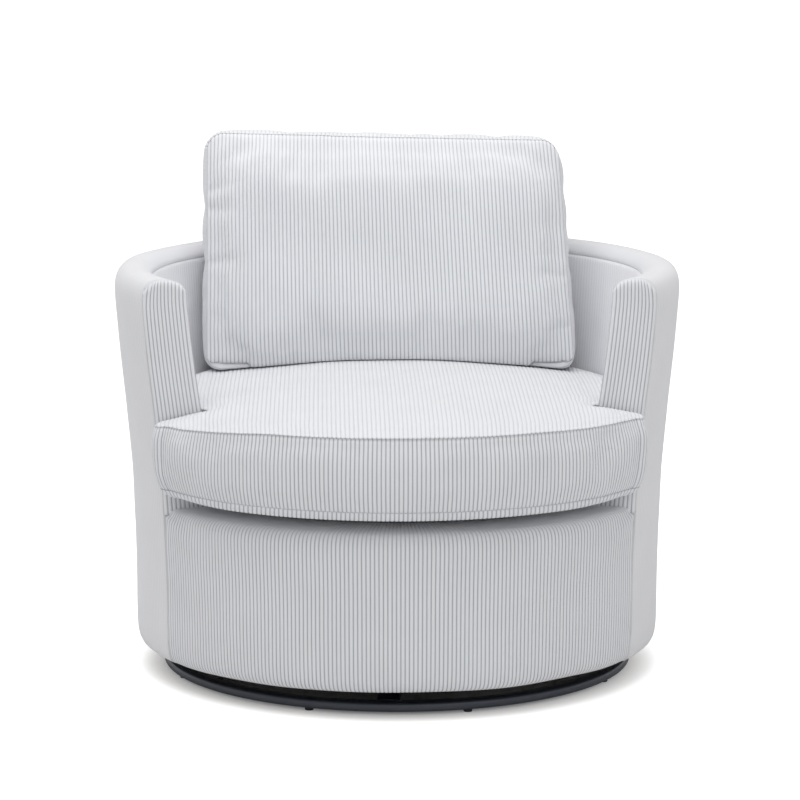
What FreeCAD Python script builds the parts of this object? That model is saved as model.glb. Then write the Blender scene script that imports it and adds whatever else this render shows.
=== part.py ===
"""Swivel barrel chair: an upholstered tub shell that turns on a ball-bearing turntable and a steel ring.

Millimetres. The origin is on the floor under the swivel axis, +Z is up and the chair faces -Y.
"""
import FreeCAD, Part
import math
import os
import re
import Sketcher

SIZES = {
    # standing ring with its glides and cross tubes
    "glide_height": 5,
    "glide_radius": 6,
    "glide_near_angle": 19.5,
    "glide_far_angle": 66,
    "base_turn_angle": -3.4,
    "ring_outer_radius": 335,
    "ring_width": 24,
    "ring_height": 12,
    "ring_edge": 3,
    "tube_width": 30,
    "tube_wall": 1.5,
    # turntable with its ball race
    "turntable_height": 22,
    "plate_side": 200,
    "plate_gauge": 3,
    "plate_corner": 12,
    "race_radius": 85,
    "race_width": 20,
    "race_clearance": 0.05,
    "ball_radius": 5,
    "ball_count": 12,
    "ball_sides": 8,
    "cage_width": 20,
    "cage_thickness": 1.6,
    "cage_clearance": 0.05,
    "pin_radius": 8,
    "pin_clearance": 0.05,
    "pin_head_radius": 14,
    "pin_head_height": 5,
    "pin_head_gap": 0.3,
    # bolts that hold the turntable to the board
    "bolt_circle_radius": 120,
    "bolt_radius": 4,
    "bolt_head_radius": 7.5,
    "bolt_head_height": 5.3,
    "bolt_hole_clearance": 0.2,
    "thread_clearance": 0.05,
    "nut_height": 6.5,
    # timber frame
    "board_inset": 14,
    "board_thickness": 18,
    "board_hole_radius": 30,
    "upright_width": 40,
    "upright_depth": 22,
    "upright_first_angle": 78,
    "upright_step_angle": 28,
    "upright_foot_margin": 5.5,
    "upright_head_margin": 8,
    "seat_ring_top": 240,
    "seat_ring_thickness": 18,
    "seat_ring_width": 81,
    "rail_thickness": 18,
    "rail_overhang": 1,
    "arm_board_thickness": 18,
    "arm_board_margin": 3,
    "joint_gap": 0.3,
    # webbing under the seat
    "strap_width": 50,
    "strap_thickness": 1.5,
    "strap_pitch": 100,
    "strap_overlap": 30,
    # upholstered wall
    "front_plane": 188,
    "rim_height": 576,
    "hem_round": 14,
    "hem_round_width": 8,
    "wall_hem_radius": 372,
    "wall_waist_swell": 6.9,
    "wall_waist_height": 290,
    "wall_rim_flare": 27.8,
    "rim_outer_round": 28,
    "rim_outer_round_width": 12,
    "rim_inner_round": 20,
    "rim_inner_round_width": 12,
    "wall_low_thickness": 60,
    "wall_high_thickness": 54.2,
    "outer_padding": 10,
    "inner_padding": 12,
    "rim_padding": 14,
    "seam_gap": 0.3,
    "arm_panel_thickness": 7,
    "arm_panel_edge": 2.5,
    "arm_panel_inset": 1,
    # skirt, deck and dust cover
    "skirt_top_height": 258,
    "skirt_top_swell": 4.8,
    "skirt_top_round": 13,
    "skirt_top_padding": 8,
    "deck_height": 262,
    "dust_cover_thickness": 0.6,
    "dust_cover_margin": 10,
    "dust_cover_gap": 8,
    # seat cushion
    "cushion_gap": 0.3,
    "cushion_side_gap": 1.5,
    "seat_front_overhang": 30,
    "seat_low_seam_height": 293,
    "seat_high_seam_height": 391,
    "seat_bulge": 3.5,
    "seat_crown_height": 430,
    "seat_crown_radius": 2367,
    "seat_crown_forward": 50,
    "ear_depth": 38,
    "ear_corner": 14,
    "ear_gap": 5,
    "neck_round": 8,
    "seat_filling_margin": 20,
    "seat_filling_rise": 9,
    # back cushion
    "back_side_margin": 77.6,
    "back_taper": 28,
    "back_foot_height": 400,
    "back_head_height": 737,
    "back_corner": 26,
    "back_boxing": 92,
    "back_front_crown": 27,
    "back_rear_crown": 38,
    "back_rear_draw": 6,
    "back_seam_distance": 86,
    "back_lean_angle": 8,
    "back_shift": 12,
    "back_filling_margin": 14,
    "back_filling_foot": 440,
}

doc = FreeCAD.newDocument("SwivelBarrelChair")
sheet = doc.addObject("Spreadsheet::Sheet", "Sizes")
for row, (alias, number) in enumerate(SIZES.items(), start=1):
    sheet.set(f"A{row}", alias)
    sheet.set(f"B{row}", str(number))
    sheet.setAlias(f"B{row}", alias)
doc.recompute()

# Heights and radii that several pieces share, written in the names of the sheet
RING_TOP = "(glide_height + ring_height)"
RING_INNER = "(ring_outer_radius - ring_width)"
BALL_HEIGHT = f"({RING_TOP} + turntable_height / 2)"
BOARD_BOTTOM = f"({RING_TOP} + turntable_height)"
BOARD_TOP = f"({BOARD_BOTTOM} + board_thickness)"
SEAT_RING_BOTTOM = "(seat_ring_top - seat_ring_thickness)"
RAIL_TOP = "(rim_height - rim_padding)"
RAIL_BOTTOM = f"({RAIL_TOP} - rail_thickness)"
RIM_SEAM = "(rim_height - rim_inner_round)"
BOARD_RADIUS = "(wall_hem_radius - board_inset)"
WAIST_RADIUS = "(wall_hem_radius + wall_waist_swell)"
RIM_RADIUS = "(wall_hem_radius + wall_rim_flare)"
LINING_LOW = "(wall_hem_radius - wall_low_thickness)"
LINING_HIGH = f"({RIM_RADIUS} - wall_high_thickness)"
SKIRT_TOP_RADIUS = "(wall_hem_radius + skirt_top_swell)"
SEAT_FRONT_RADIUS = "(wall_hem_radius + seat_front_overhang)"
BACK_LOW_WIDTH = f"(2 * ({LINING_HIGH} - back_side_margin))"
BACK_HIGH_WIDTH = f"({BACK_LOW_WIDTH} - back_taper)"
UPRIGHT_FOOT = "(wall_hem_radius - outer_padding - upright_foot_margin)"
UPRIGHT_HEAD = f"({RIM_RADIUS} - outer_padding - upright_head_margin)"
UPRIGHT_SLOPE = f"(({UPRIGHT_HEAD} - {UPRIGHT_FOOT}) / ({RAIL_BOTTOM} - {BOARD_TOP}))"
SEAT_RING_RADIUS = f"({UPRIGHT_FOOT} - upright_depth + {UPRIGHT_SLOPE} * ({SEAT_RING_BOTTOM} - {BOARD_TOP}))"
SEAT_RING_INNER = f"({SEAT_RING_RADIUS} - seat_ring_width)"
APRON_INNER = f"({SEAT_RING_RADIUS} + joint_gap)"
APRON_TOP = "(skirt_top_height - skirt_top_padding)"
ARM_BOARD_BACK = "(front_plane - joint_gap - arm_board_thickness)"
BEYOND = f"({RIM_RADIUS} + {SEAT_FRONT_RADIUS})"

parts = {}


def expression(text):
    """The text with each name of the sheet written as the sheet's own cell."""
    return re.sub(r"[a-z][a-z_]*", lambda word: "Sizes." + word[0] if word[0] in SIZES else word[0], text)


def bind(item, place, text):
    item.setExpression(place, expression(text))


def worth(text):
    return float(sheet.evalExpression(expression(text)))


def keep(label, item):
    """Names a finished sub-part, which is also the name of its file."""
    item.Label = label
    parts[label] = item
    return item


def turned(item, angle):
    """Turns a finished sub-part about the swivel axis."""
    item.Placement = FreeCAD.Placement(
        FreeCAD.Vector(0, 0, 0), FreeCAD.Rotation(FreeCAD.Vector(0, 0, 1), worth(angle))
    )
    bind(item, "Placement.Rotation.Angle", angle)
    return item


# Sketches

def new_body(name):
    return doc.addObject("PartDesign::Body", name)


def new_sketch(body, name, role, lift):
    sketch = body.newObject("Sketcher::SketchObject", name)
    plane = [item for item in body.Origin.OriginFeatures if item.Role == role][0]
    sketch.AttachmentSupport = (plane, [""])
    sketch.MapMode = "FlatFace"
    bind(sketch, "AttachmentOffset.Base.z", lift)
    return sketch


def pin_point(sketch, edge, end, x, y):
    """Holds one point of a sketch at its distances from the sketch's axes."""
    for kind, text, axis in (("DistanceX", x, -2), ("DistanceY", y, -1)):
        distance = worth(text)
        if abs(distance) < 1e-9:
            sketch.addConstraint(Sketcher.Constraint("PointOnObject", edge, end, axis))
        else:
            number = sketch.addConstraint(Sketcher.Constraint(kind, -1, 1, edge, end, distance))
            bind(sketch, f"Constraints[{number}]", text)


def outline(body, name, role, path, lift="0"):
    """A closed outline of corners; a point marked "via" is one that an arc between corners runs through."""
    sketch = new_sketch(body, name, role, lift)
    spots = [FreeCAD.Vector(worth(point[0]), worth(point[1]), 0) for point in path]
    edges = []
    for here, point in enumerate(path):
        if len(point) == 3:
            continue
        after = (here + 1) % len(path)
        via = after if len(path[after]) == 3 else None
        if via is None:
            edge = sketch.addGeometry(Part.LineSegment(spots[here], spots[after]))
            ends = (1, 2)
        else:
            after = (after + 1) % len(path)
            edge = sketch.addGeometry(Part.Arc(spots[here], spots[via], spots[after]))
            ends = (1, 2) if sketch.getPoint(edge, 1).distanceToPoint(spots[here]) < 1e-6 else (2, 1)
        edges.append((edge, ends, point, via))
    for number, (edge, ends, point, via) in enumerate(edges):
        after, after_ends = edges[(number + 1) % len(edges)][:2]
        sketch.addConstraint(Sketcher.Constraint("Coincident", edge, ends[1], after, after_ends[0]))
        pin_point(sketch, edge, ends[0], point[0], point[1])
    for edge, ends, point, via in edges:
        if via is not None:
            mark = sketch.addGeometry(Part.Point(spots[via]), True)
            pin_point(sketch, mark, 1, path[via][0], path[via][1])
            sketch.addConstraint(Sketcher.Constraint("PointOnObject", mark, 1, edge))
    return sketch


def rectangle(body, name, role, low, high, lift="0"):
    path = [low, (high[0], low[1]), high, (low[0], high[1])]
    return outline(body, name, role, path, lift)


def circle(body, name, role, x, y, radius, lift="0"):
    sketch = new_sketch(body, name, role, lift)
    centre = FreeCAD.Vector(worth(x), worth(y), 0)
    edge = sketch.addGeometry(Part.Circle(centre, FreeCAD.Vector(0, 0, 1), worth(radius)))
    pin_point(sketch, edge, 3, x, y)
    number = sketch.addConstraint(Sketcher.Constraint("Radius", edge, worth(radius)))
    bind(sketch, f"Constraints[{number}]", radius)
    return sketch


# Features of a body

def revolve(body, sketch, kind="PartDesign::Revolution"):
    feature = body.newObject(kind, sketch.Name + "_turned")
    feature.Profile = sketch
    feature.ReferenceAxis = (sketch, ["V_Axis"])
    feature.Angle = 360
    return feature


def pad(body, sketch, length, symmetric=False):
    feature = body.newObject("PartDesign::Pad", sketch.Name + "_pad")
    feature.Profile = sketch
    bind(feature, "Length", length)
    if symmetric:
        feature.SideType = "Symmetric"
    return feature


def pocket(body, sketch, depth):
    """Cuts the sketch's outline through the body, to both sides of the sketch."""
    feature = body.newObject("PartDesign::Pocket", sketch.Name + "_pocket")
    feature.Profile = sketch
    feature.SideType = "Symmetric"
    bind(feature, "Length", depth)
    return feature


def repeat_around(body, feature, count):
    pattern = body.newObject("PartDesign::PolarPattern", feature.Name + "_pattern")
    pattern.Originals = [feature]
    pattern.Axis = (feature.Profile[0], ["N_Axis"])
    pattern.Angle = 360
    bind(pattern, "Occurrences", count)
    body.Tip = pattern
    return pattern


def soften_edges(body, feature, width, chosen):
    """Chamfers the edges of a feature that the test picks."""
    doc.recompute()
    names = [f"Edge{n}" for n, edge in enumerate(feature.Shape.Edges, start=1) if chosen(edge)]
    chamfer = body.newObject("PartDesign::Chamfer", feature.Name + "_soft")
    chamfer.Base = (feature, names)
    bind(chamfer, "Size", width)
    return chamfer


def keep_behind_front(body, gap):
    """Cuts away all of a body that lies in front of the arm fronts."""
    sketch = rectangle(
        body, body.Name + "_front", "XY_Plane",
        (f"-{BEYOND}", f"-{BEYOND}"), (BEYOND, f"-(front_plane + {gap})"),
    )
    return pocket(body, sketch, "4 * rim_height")


def keep_before_front(body, gap):
    """Cuts away all of a body that lies behind the arm fronts."""
    sketch = rectangle(
        body, body.Name + "_rear", "XY_Plane",
        (f"-{BEYOND}", f"-(front_plane + {gap})"), (BEYOND, BEYOND),
    )
    return pocket(body, sketch, "4 * rim_height")


# Solids and booleans

def cylinder(name, radius, bottom, top):
    item = doc.addObject("Part::Cylinder", name)
    bind(item, "Radius", radius)
    bind(item, "Height", f"{top} - {bottom}")
    bind(item, "Placement.Base.z", bottom)
    return item


def prism(name, sides, radius, bottom, height):
    item = doc.addObject("Part::Prism", name)
    item.Polygon = sides
    bind(item, "Circumradius", radius)
    bind(item, "Height", height)
    bind(item, "Placement.Base.z", bottom)
    return item


def block(name, low, high):
    item = doc.addObject("Part::Box", name)
    for length, axis, start, end in zip(("Length", "Width", "Height"), "xyz", low, high):
        bind(item, length, f"({end}) - ({start})")
        bind(item, f"Placement.Base.{axis}", start)
    return item


def cut(name, base, tool):
    item = doc.addObject("Part::Cut", name)
    item.Base = base
    item.Tool = tool
    return item


def fuse(name, base, tool):
    item = doc.addObject("Part::Fuse", name)
    item.Base = base
    item.Tool = tool
    return item


def common(name, base, tool):
    item = doc.addObject("Part::Common", name)
    item.Base = base
    item.Tool = tool
    return item


def group(label, items):
    item = doc.addObject("Part::Compound", label)
    item.Links = items
    return keep(label, item)


def washer(name, inner, outer, bottom, top):
    return cut(name, cylinder(name + "_disc", outer, bottom, top), cylinder(name + "_hole", inner, bottom, top))


# Standing ring: a flat steel tube rolled to a circle, with eight glides pressed in below
body = new_body("base_ring")
profile = outline(body, "ring_profile", "XZ_Plane", [
    (RING_INNER, "glide_height"),
    ("ring_outer_radius", "glide_height"),
    ("ring_outer_radius", f"{RING_TOP} - ring_edge"),
    ("ring_outer_radius - ring_edge", RING_TOP),
    (f"{RING_INNER} + ring_edge", RING_TOP),
    (RING_INNER, f"{RING_TOP} - ring_edge"),
])
revolve(body, profile)
keep("base_ring", body)

GLIDE_ANGLES = [
    f"{turn} {sign} glide_{place}_angle"
    for turn in (0, 180)
    for place in ("near", "far")
    for sign in "-+"
]
glides = []
for number, angle in enumerate(GLIDE_ANGLES, start=1):
    glide = prism(f"glide_{number}", 12, "glide_radius", "0", "glide_height")
    angle = f"(base_turn_angle + {angle} - 90)"
    bind(glide, "Placement.Base.x", f"({RING_INNER} + ring_width / 2) * cos({angle})")
    bind(glide, "Placement.Base.y", f"({RING_INNER} + ring_width / 2) * sin({angle})")
    glides.append(glide)
group("foot_glides", glides)


# Cross tubes: rectangular steel tube, coped to the ring and welded
def tube(name, low, high, along):
    inner_low = [low[0], low[1], f"{low[2]} + tube_wall"]
    inner_high = [high[0], high[1], f"{high[2]} - tube_wall"]
    across = 1 - along
    inner_low[across] = f"{low[across]} + tube_wall"
    inner_high[across] = f"{high[across]} - tube_wall"
    outer = block(name + "_outer", low, high)
    hollow = cut(name + "_hollow", outer, block(name + "_bore", inner_low, inner_high))
    coped = common(name + "_coped", hollow, cylinder(name + "_cope", RING_INNER, "0", BOARD_BOTTOM))
    return turned(keep(name, coped), "base_turn_angle")


HALF_TUBE = "tube_width / 2"
tube(
    "base_cross_tube",
    ("-ring_outer_radius", f"-{HALF_TUBE}", "glide_height"),
    ("ring_outer_radius", HALF_TUBE, RING_TOP),
    along=0,
)
tube(
    "base_front_tube",
    (f"-{HALF_TUBE}", "-ring_outer_radius", "glide_height"),
    (HALF_TUBE, f"-{HALF_TUBE}", RING_TOP),
    along=1,
)
tube(
    "base_rear_tube",
    (f"-{HALF_TUBE}", HALF_TUBE, "glide_height"),
    (HALF_TUBE, "ring_outer_radius", RING_TOP),
    along=1,
)


# Turntable: two stamped plates with a ball race between them, held together by a headed pin
UPPER_PLATE_BOTTOM = f"({BOARD_BOTTOM} - plate_gauge)"
TRACK_DISTANCE = "(ball_radius + race_clearance)"


def turntable_plate(label, face, track):
    """A square plate with a raised ring on which the balls run."""
    body = new_body(label)
    half = "plate_side / 2"
    short = f"({half} - plate_corner)"
    square = outline(body, label + "_square", "XY_Plane", [
        (f"-{short}", f"-{half}"),
        (short, f"-{half}"),
        (half, f"-{short}"),
        (half, short),
        (short, half),
        (f"-{short}", half),
        (f"-{half}", short),
        (f"-{half}", f"-{short}"),
    ], f"{face} - plate_gauge / 2")
    pad(body, square, "plate_gauge")
    race = rectangle(
        body, label + "_race", "XZ_Plane",
        ("race_radius - race_width / 2", face), ("race_radius + race_width / 2", track),
    )
    revolve(body, race)
    bore = circle(body, label + "_bore", "XY_Plane", "0", "0", "pin_radius + pin_clearance", face)
    pocket(body, bore, "2 * turntable_height")
    return keep(label, body)


BOLT_SPOT = "bolt_circle_radius * cos(45)"


def drill_for_bolts(body, height):
    """Drills a body for the four bolts of the upper plate."""
    hole = circle(
        body, body.Name + "_bolt_hole", "XY_Plane", BOLT_SPOT, BOLT_SPOT,
        "bolt_radius + bolt_hole_clearance", height,
    )
    return repeat_around(body, pocket(body, hole, "3 * board_thickness"), "4")


lower_plate = turntable_plate(
    "lower_swivel_plate", f"{RING_TOP} + plate_gauge / 2", f"{BALL_HEIGHT} - {TRACK_DISTANCE}"
)
turned(lower_plate, "base_turn_angle + 45")
upper_plate = turntable_plate(
    "upper_swivel_plate", f"{BOARD_BOTTOM} - plate_gauge / 2", f"{BALL_HEIGHT} + {TRACK_DISTANCE}"
)
drill_for_bolts(upper_plate, UPPER_PLATE_BOTTOM)


PIN_SHOULDER = f"({BOARD_BOTTOM} + pin_head_gap)"
keep("swivel_pin", fuse(
    "pin_welded",
    cylinder("pin_shank", "pin_radius", RING_TOP, PIN_SHOULDER),
    prism("pin_head", 6, "pin_head_radius", PIN_SHOULDER, "pin_head_height"),
))

body = new_body("ball_cage")
half_cage = "cage_width / 2"
half_thickness = "cage_thickness / 2"
profile = rectangle(
    body, "cage_profile", "XZ_Plane",
    (f"race_radius - {half_cage}", f"{BALL_HEIGHT} - {half_thickness}"),
    (f"race_radius + {half_cage}", f"{BALL_HEIGHT} + {half_thickness}"),
)
revolve(body, profile)
half_window = "(ball_radius + cage_clearance)"
window = rectangle(
    body, "cage_window", "XY_Plane",
    (f"race_radius - {half_window}", f"-{half_window}"), (f"race_radius + {half_window}", half_window),
    BALL_HEIGHT,
)
repeat_around(body, pocket(body, window, "turntable_height"), "ball_count")
keep("ball_cage", body)


def size(name):
    return float(sheet.get(name))


# Bearing balls: drawn with flats, which keeps the twelve of them light, inside the true ball
def bearing_ball(place):
    sides = int(size("ball_sides"))
    bands = sides // 2
    rings = []
    for step in range(bands + 1):
        latitude = math.pi * (step / bands - 0.5)
        around = max(size("ball_radius") * math.cos(latitude), size("ball_radius") / 8)
        height = math.copysign(math.sqrt(size("ball_radius") ** 2 - around**2), latitude)
        turns = [2 * math.pi * side / sides for side in range(sides)]
        rings.append([
            place + FreeCAD.Vector(around * math.cos(turn), around * math.sin(turn), height) for turn in turns
        ])
    flats = [rings[0], rings[-1]]
    for lower, upper in zip(rings, rings[1:]):
        flats += [[lower[n - 1], lower[n], upper[n], upper[n - 1]] for n in range(sides)]
    faces = [Part.Face(Part.makePolygon(corners + corners[:1])) for corners in flats]
    return Part.Solid(Part.Shell(faces))


balls = []
for number in range(int(size("ball_count"))):
    angle = 2 * math.pi * number / size("ball_count")
    x, y = (size("race_radius") * turn(angle) for turn in (math.cos, math.sin))
    balls.append(bearing_ball(FreeCAD.Vector(x, y, worth(BALL_HEIGHT))))
bearing_balls = doc.addObject("Part::Feature", "bearing_balls")
bearing_balls.Shape = Part.makeCompound(balls)
keep("bearing_balls", bearing_balls)

# Bolts up through the upper plate and the bottom board, with hexagon nuts on the board
bolts = []
nuts = []
for number in range(4):
    angle = f"({90 * number} + 45)"
    bolt_head = prism(
        f"bolt_head_{number + 1}", 6, "bolt_head_radius",
        f"{UPPER_PLATE_BOTTOM} - bolt_head_height", "bolt_head_height",
    )
    shank = cylinder(
        f"bolt_shank_{number + 1}", "bolt_radius", UPPER_PLATE_BOTTOM, f"({BOARD_TOP} + nut_height)"
    )
    blank = prism(f"nut_blank_{number + 1}", 6, "bolt_head_radius", BOARD_TOP, "nut_height")
    thread = cylinder(
        f"nut_thread_{number + 1}", "bolt_radius + thread_clearance", BOARD_BOTTOM,
        f"({BOARD_TOP} + 2 * nut_height)",
    )
    for item in (bolt_head, shank, blank, thread):
        bind(item, "Placement.Base.x", f"bolt_circle_radius * cos({angle})")
        bind(item, "Placement.Base.y", f"bolt_circle_radius * sin({angle})")
    bolts.append(fuse(f"bolt_{number + 1}", bolt_head, shank))
    nuts.append(cut(f"nut_{number + 1}", blank, thread))
group("upper_plate_bolts", bolts)
group("upper_plate_nuts", nuts)

# Bottom board: birch plywood disc, drilled for the bolts and open at the centre for the pin
body = new_body("bottom_board")
disc = circle(body, "board_disc", "XY_Plane", "0", "0", BOARD_RADIUS, BOARD_BOTTOM)
pad(body, disc, "board_thickness")
centre = circle(body, "board_centre", "XY_Plane", "0", "0", "board_hole_radius", BOARD_BOTTOM)
pocket(body, centre, "3 * board_thickness")
drill_for_bolts(body, BOARD_BOTTOM)
keep("bottom_board", body)

# Uprights: leaning timber posts between the bottom board and the top rail
UPRIGHT_PLACES = ("front", "mid_front", "mid_rear", "rear")
for side, sign in (("left", "-"), ("right", "+")):
    for number, place in enumerate(UPRIGHT_PLACES):
        name = f"upright_{side}_{place}"
        body = new_body(name)
        profile = outline(body, name + "_profile", "XZ_Plane", [
            (f"{UPRIGHT_FOOT} - upright_depth", BOARD_TOP),
            (UPRIGHT_FOOT, BOARD_TOP),
            (UPRIGHT_HEAD, RAIL_BOTTOM),
            (f"{UPRIGHT_HEAD} - upright_depth", RAIL_BOTTOM),
        ])
        pad(body, profile, "upright_width", symmetric=True)
        angle = f"-90 {sign} (upright_first_angle + {number} * upright_step_angle)"
        turned(keep(name, body), angle)

# Seat frame ring: plywood ring inside the uprights, notched round the arm boards
ring = washer(
    "seat_ring_blank", SEAT_RING_INNER, SEAT_RING_RADIUS, SEAT_RING_BOTTOM, "seat_ring_top"
)
for side, sign in (("left", "-"), ("right", "")):
    near = f"({sign}1 * {SEAT_RING_INNER})"
    far = f"({sign}1 * {BEYOND})"
    low_x, high_x = (far, near) if side == "left" else (near, far)
    notch = block(
        f"notch_{side}",
        (low_x, "-front_plane", BOARD_TOP),
        (high_x, f"-({ARM_BOARD_BACK} - joint_gap)", RAIL_TOP),
    )
    ring = cut(f"seat_ring_notched_{side}", ring, notch)
keep("seat_frame_ring", ring)

# Front apron: bent plywood that carries the skirt padding between the arm boards
apron = washer("apron_bend", APRON_INNER, BOARD_RADIUS, BOARD_TOP, APRON_TOP)
front_half = block(
    "apron_front_half",
    (f"-{BEYOND}", f"-{BEYOND}", BOARD_TOP), (BEYOND, "-(front_plane + seam_gap)", RAIL_TOP),
)
keep("front_apron", common("apron_trimmed", apron, front_half))


# Arm front boards: plywood stood on edge behind each arm front
def across_front(radius):
    """Half the width of a circle of this radius where the front plane cuts it."""
    return f"sqrt(({radius})^2 - front_plane^2)"


def across_board_back(radius):
    """Half the width of a circle of this radius at the back face of an arm board."""
    return f"sqrt(({radius})^2 - {ARM_BOARD_BACK}^2)"


BOARD_INNER_LOW = f"{across_board_back(LINING_LOW + ' + inner_padding')} + arm_board_margin"
BOARD_INNER_HIGH = f"{across_board_back(LINING_HIGH + ' + inner_padding')} + arm_board_margin"
for side, sign in (("left", "-1"), ("right", "1")):
    name = f"arm_front_board_{side}"
    body = new_body(name)
    corners = [
        (BOARD_INNER_LOW, BOARD_TOP),
        (across_front(BOARD_RADIUS), BOARD_TOP),
        (across_front(f"{RIM_RADIUS} - outer_padding - joint_gap"), RAIL_TOP),
        (BOARD_INNER_HIGH, RAIL_TOP),
        (BOARD_INNER_LOW, "seat_ring_top"),
    ]
    face = outline(
        body, name + "_face", "XZ_Plane", [(f"{sign} * ({x})", z) for x, z in corners], ARM_BOARD_BACK
    )
    pad(body, face, "arm_board_thickness")
    keep(name, body)

# Top rail: plywood arc on the heads of the uprights
rail = washer(
    "rail_blank",
    f"({UPRIGHT_HEAD} - upright_depth - rail_overhang)", f"({UPRIGHT_HEAD} + rail_overhang)",
    RAIL_BOTTOM, RAIL_TOP,
)
rear_half = block(
    "rail_rear_half",
    (f"-{BEYOND}", f"-({ARM_BOARD_BACK} - joint_gap)", BOARD_TOP), (BEYOND, BEYOND, "rim_height"),
)
keep("top_rail", common("rail_trimmed", rail, rear_half))


# Seat webbing: elastic straps stapled to the seat frame ring and woven over and under each other
def strap(name, role, number, first):
    """One strap: flat where it crosses another, and sloping between them to pass over and under."""
    offset = f"({number - 1.5} * strap_pitch)"
    half_length = f"sqrt(({SEAT_RING_INNER} + strap_overlap)^2 - {offset}^2)"
    on_ring = "seat_ring_top"
    spots = [(f"-{half_length}", on_ring)]
    for crossing in range(4):
        over = (number + crossing + first) % 2
        place = f"({crossing - 1.5} * strap_pitch)"
        height = "seat_ring_top + strap_thickness" if over else on_ring
        spots.append((f"{place} - strap_width / 2", height))
        spots.append((f"{place} + strap_width / 2", height))
    spots.append((half_length, on_ring))
    upper = [(x, f"{z} + strap_thickness") for x, z in reversed(spots)]
    body = new_body(name)
    lift = offset if role == "YZ_Plane" else f"-{offset}"
    pad(body, outline(body, name + "_edge", role, spots + upper, lift), "strap_width", symmetric=True)
    keep(name, body)


for number in range(4):
    strap(f"webbing_lengthwise_{number + 1}", "YZ_Plane", number, first=0)
    strap(f"webbing_crosswise_{number + 1}", "XZ_Plane", number, first=1)

# Outer upholstery: padded corduroy from the edge of the board, up the wall and over the rim
RIM_OUTER_START = "(rim_height - rim_outer_round)"
INNER_SLOPE = f"(({LINING_HIGH} - {LINING_LOW}) / ({RIM_SEAM} - seat_ring_top))"
EASED = "(1 - sqrt(0.5))"
HEM_PROFILE = [
    (f"{BOARD_RADIUS} + joint_gap", BOARD_BOTTOM),
    ("wall_hem_radius - hem_round_width", BOARD_BOTTOM),
    ("wall_hem_radius", f"{BOARD_BOTTOM} + hem_round"),
]
RIM_OUTER_PROFILE = [
    (RIM_RADIUS, RIM_OUTER_START),
    (f"{RIM_RADIUS} - rim_outer_round_width * {EASED}", f"rim_height - rim_outer_round * {EASED}"),
    (f"{RIM_RADIUS} - rim_outer_round_width", "rim_height"),
]
RIM_INNER_PROFILE = [
    (f"{LINING_HIGH} + rim_inner_round_width", "rim_height"),
    (f"{LINING_HIGH} + rim_inner_round_width * {EASED}", f"rim_height - rim_inner_round * {EASED}"),
    (LINING_HIGH, RIM_SEAM),
]
body = new_body("outer_upholstery")
profile = outline(body, "outer_profile", "XZ_Plane", HEM_PROFILE + [
    (WAIST_RADIUS, "wall_waist_height"),
] + RIM_OUTER_PROFILE + RIM_INNER_PROFILE + [
    (f"{LINING_HIGH} + inner_padding", RIM_SEAM),
    (f"{LINING_HIGH} + inner_padding", RAIL_TOP),
    (f"{RIM_RADIUS} - outer_padding", RAIL_TOP),
])
revolve(body, profile)
keep_behind_front(body, "0")
keep("outer_upholstery", body)

# Inner upholstery: padded corduroy lining of the tub, sewn to the rim and stapled below the deck
body = new_body("inner_upholstery")
profile = outline(body, "inner_profile", "XZ_Plane", [
    (LINING_LOW, "seat_ring_top"),
    (f"{LINING_LOW} + inner_padding", "seat_ring_top"),
    (f"{LINING_HIGH} + inner_padding", f"{RIM_SEAM} - seam_gap"),
    (LINING_HIGH, f"{RIM_SEAM} - seam_gap"),
])
revolve(body, profile)
keep_behind_front(body, "0")
keep("inner_upholstery", body)

# Skirt panel: padded corduroy over the apron, rolled on to the deck at the top
body = new_body("skirt_panel")
DECK_RADIUS = f"({LINING_LOW} - joint_gap)"
profile = outline(body, "skirt_profile", "XZ_Plane", HEM_PROFILE + [
    (SKIRT_TOP_RADIUS, "skirt_top_height - skirt_top_round"),
    (f"{SKIRT_TOP_RADIUS} - skirt_top_round * {EASED}", f"skirt_top_height - skirt_top_round * {EASED}"),
    (f"{SKIRT_TOP_RADIUS} - skirt_top_round", "skirt_top_height"),
    (f"{DECK_RADIUS} + joint_gap", "deck_height"),
    (f"{DECK_RADIUS} + joint_gap", f"{APRON_TOP} + joint_gap"),
    (f"{BOARD_RADIUS} + joint_gap", f"{APRON_TOP} + joint_gap"),
])
revolve(body, profile)
keep_before_front(body, "seam_gap")
keep("skirt_panel", body)

# Arm front panels: the narrow padded strips that close the ends of the wall
for side, sign in (("left", "-1"), ("right", "1")):
    name = f"arm_front_panel_{side}"
    body = new_body(name)
    inset = "arm_panel_inset"
    low = "(deck_height + joint_gap)"
    inner_low = f"{LINING_LOW} + {INNER_SLOPE} * ({low} - seat_ring_top)"
    outer_side = [
        (SKIRT_TOP_RADIUS, low),
        (WAIST_RADIUS, "wall_waist_height"),
        RIM_OUTER_PROFILE[0],
    ]
    path = [(f"{across_front(inner_low)} + {inset}", low)]
    path += [(f"{across_front(radius)} - {inset}", z) for radius, z in outer_side]
    path += [(f"{across_front(radius)} - {inset}", f"{z} - {inset}") for radius, z in RIM_OUTER_PROFILE[1:]]
    path += [(f"{across_front(radius)} + {inset}", f"{z} - {inset}") for radius, z in RIM_INNER_PROFILE]
    path = [(f"{sign} * ({x})", z) for x, z in path]
    strip = pad(
        body, outline(body, name + "_face", "XZ_Plane", path, "front_plane + joint_gap"),
        "arm_panel_thickness - joint_gap",
    )
    front = -worth("front_plane + arm_panel_thickness")
    soften_edges(body, strip, "arm_panel_edge", lambda edge: edge.BoundBox.YMax < front + 1e-4)
    keep(name, body)

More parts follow.
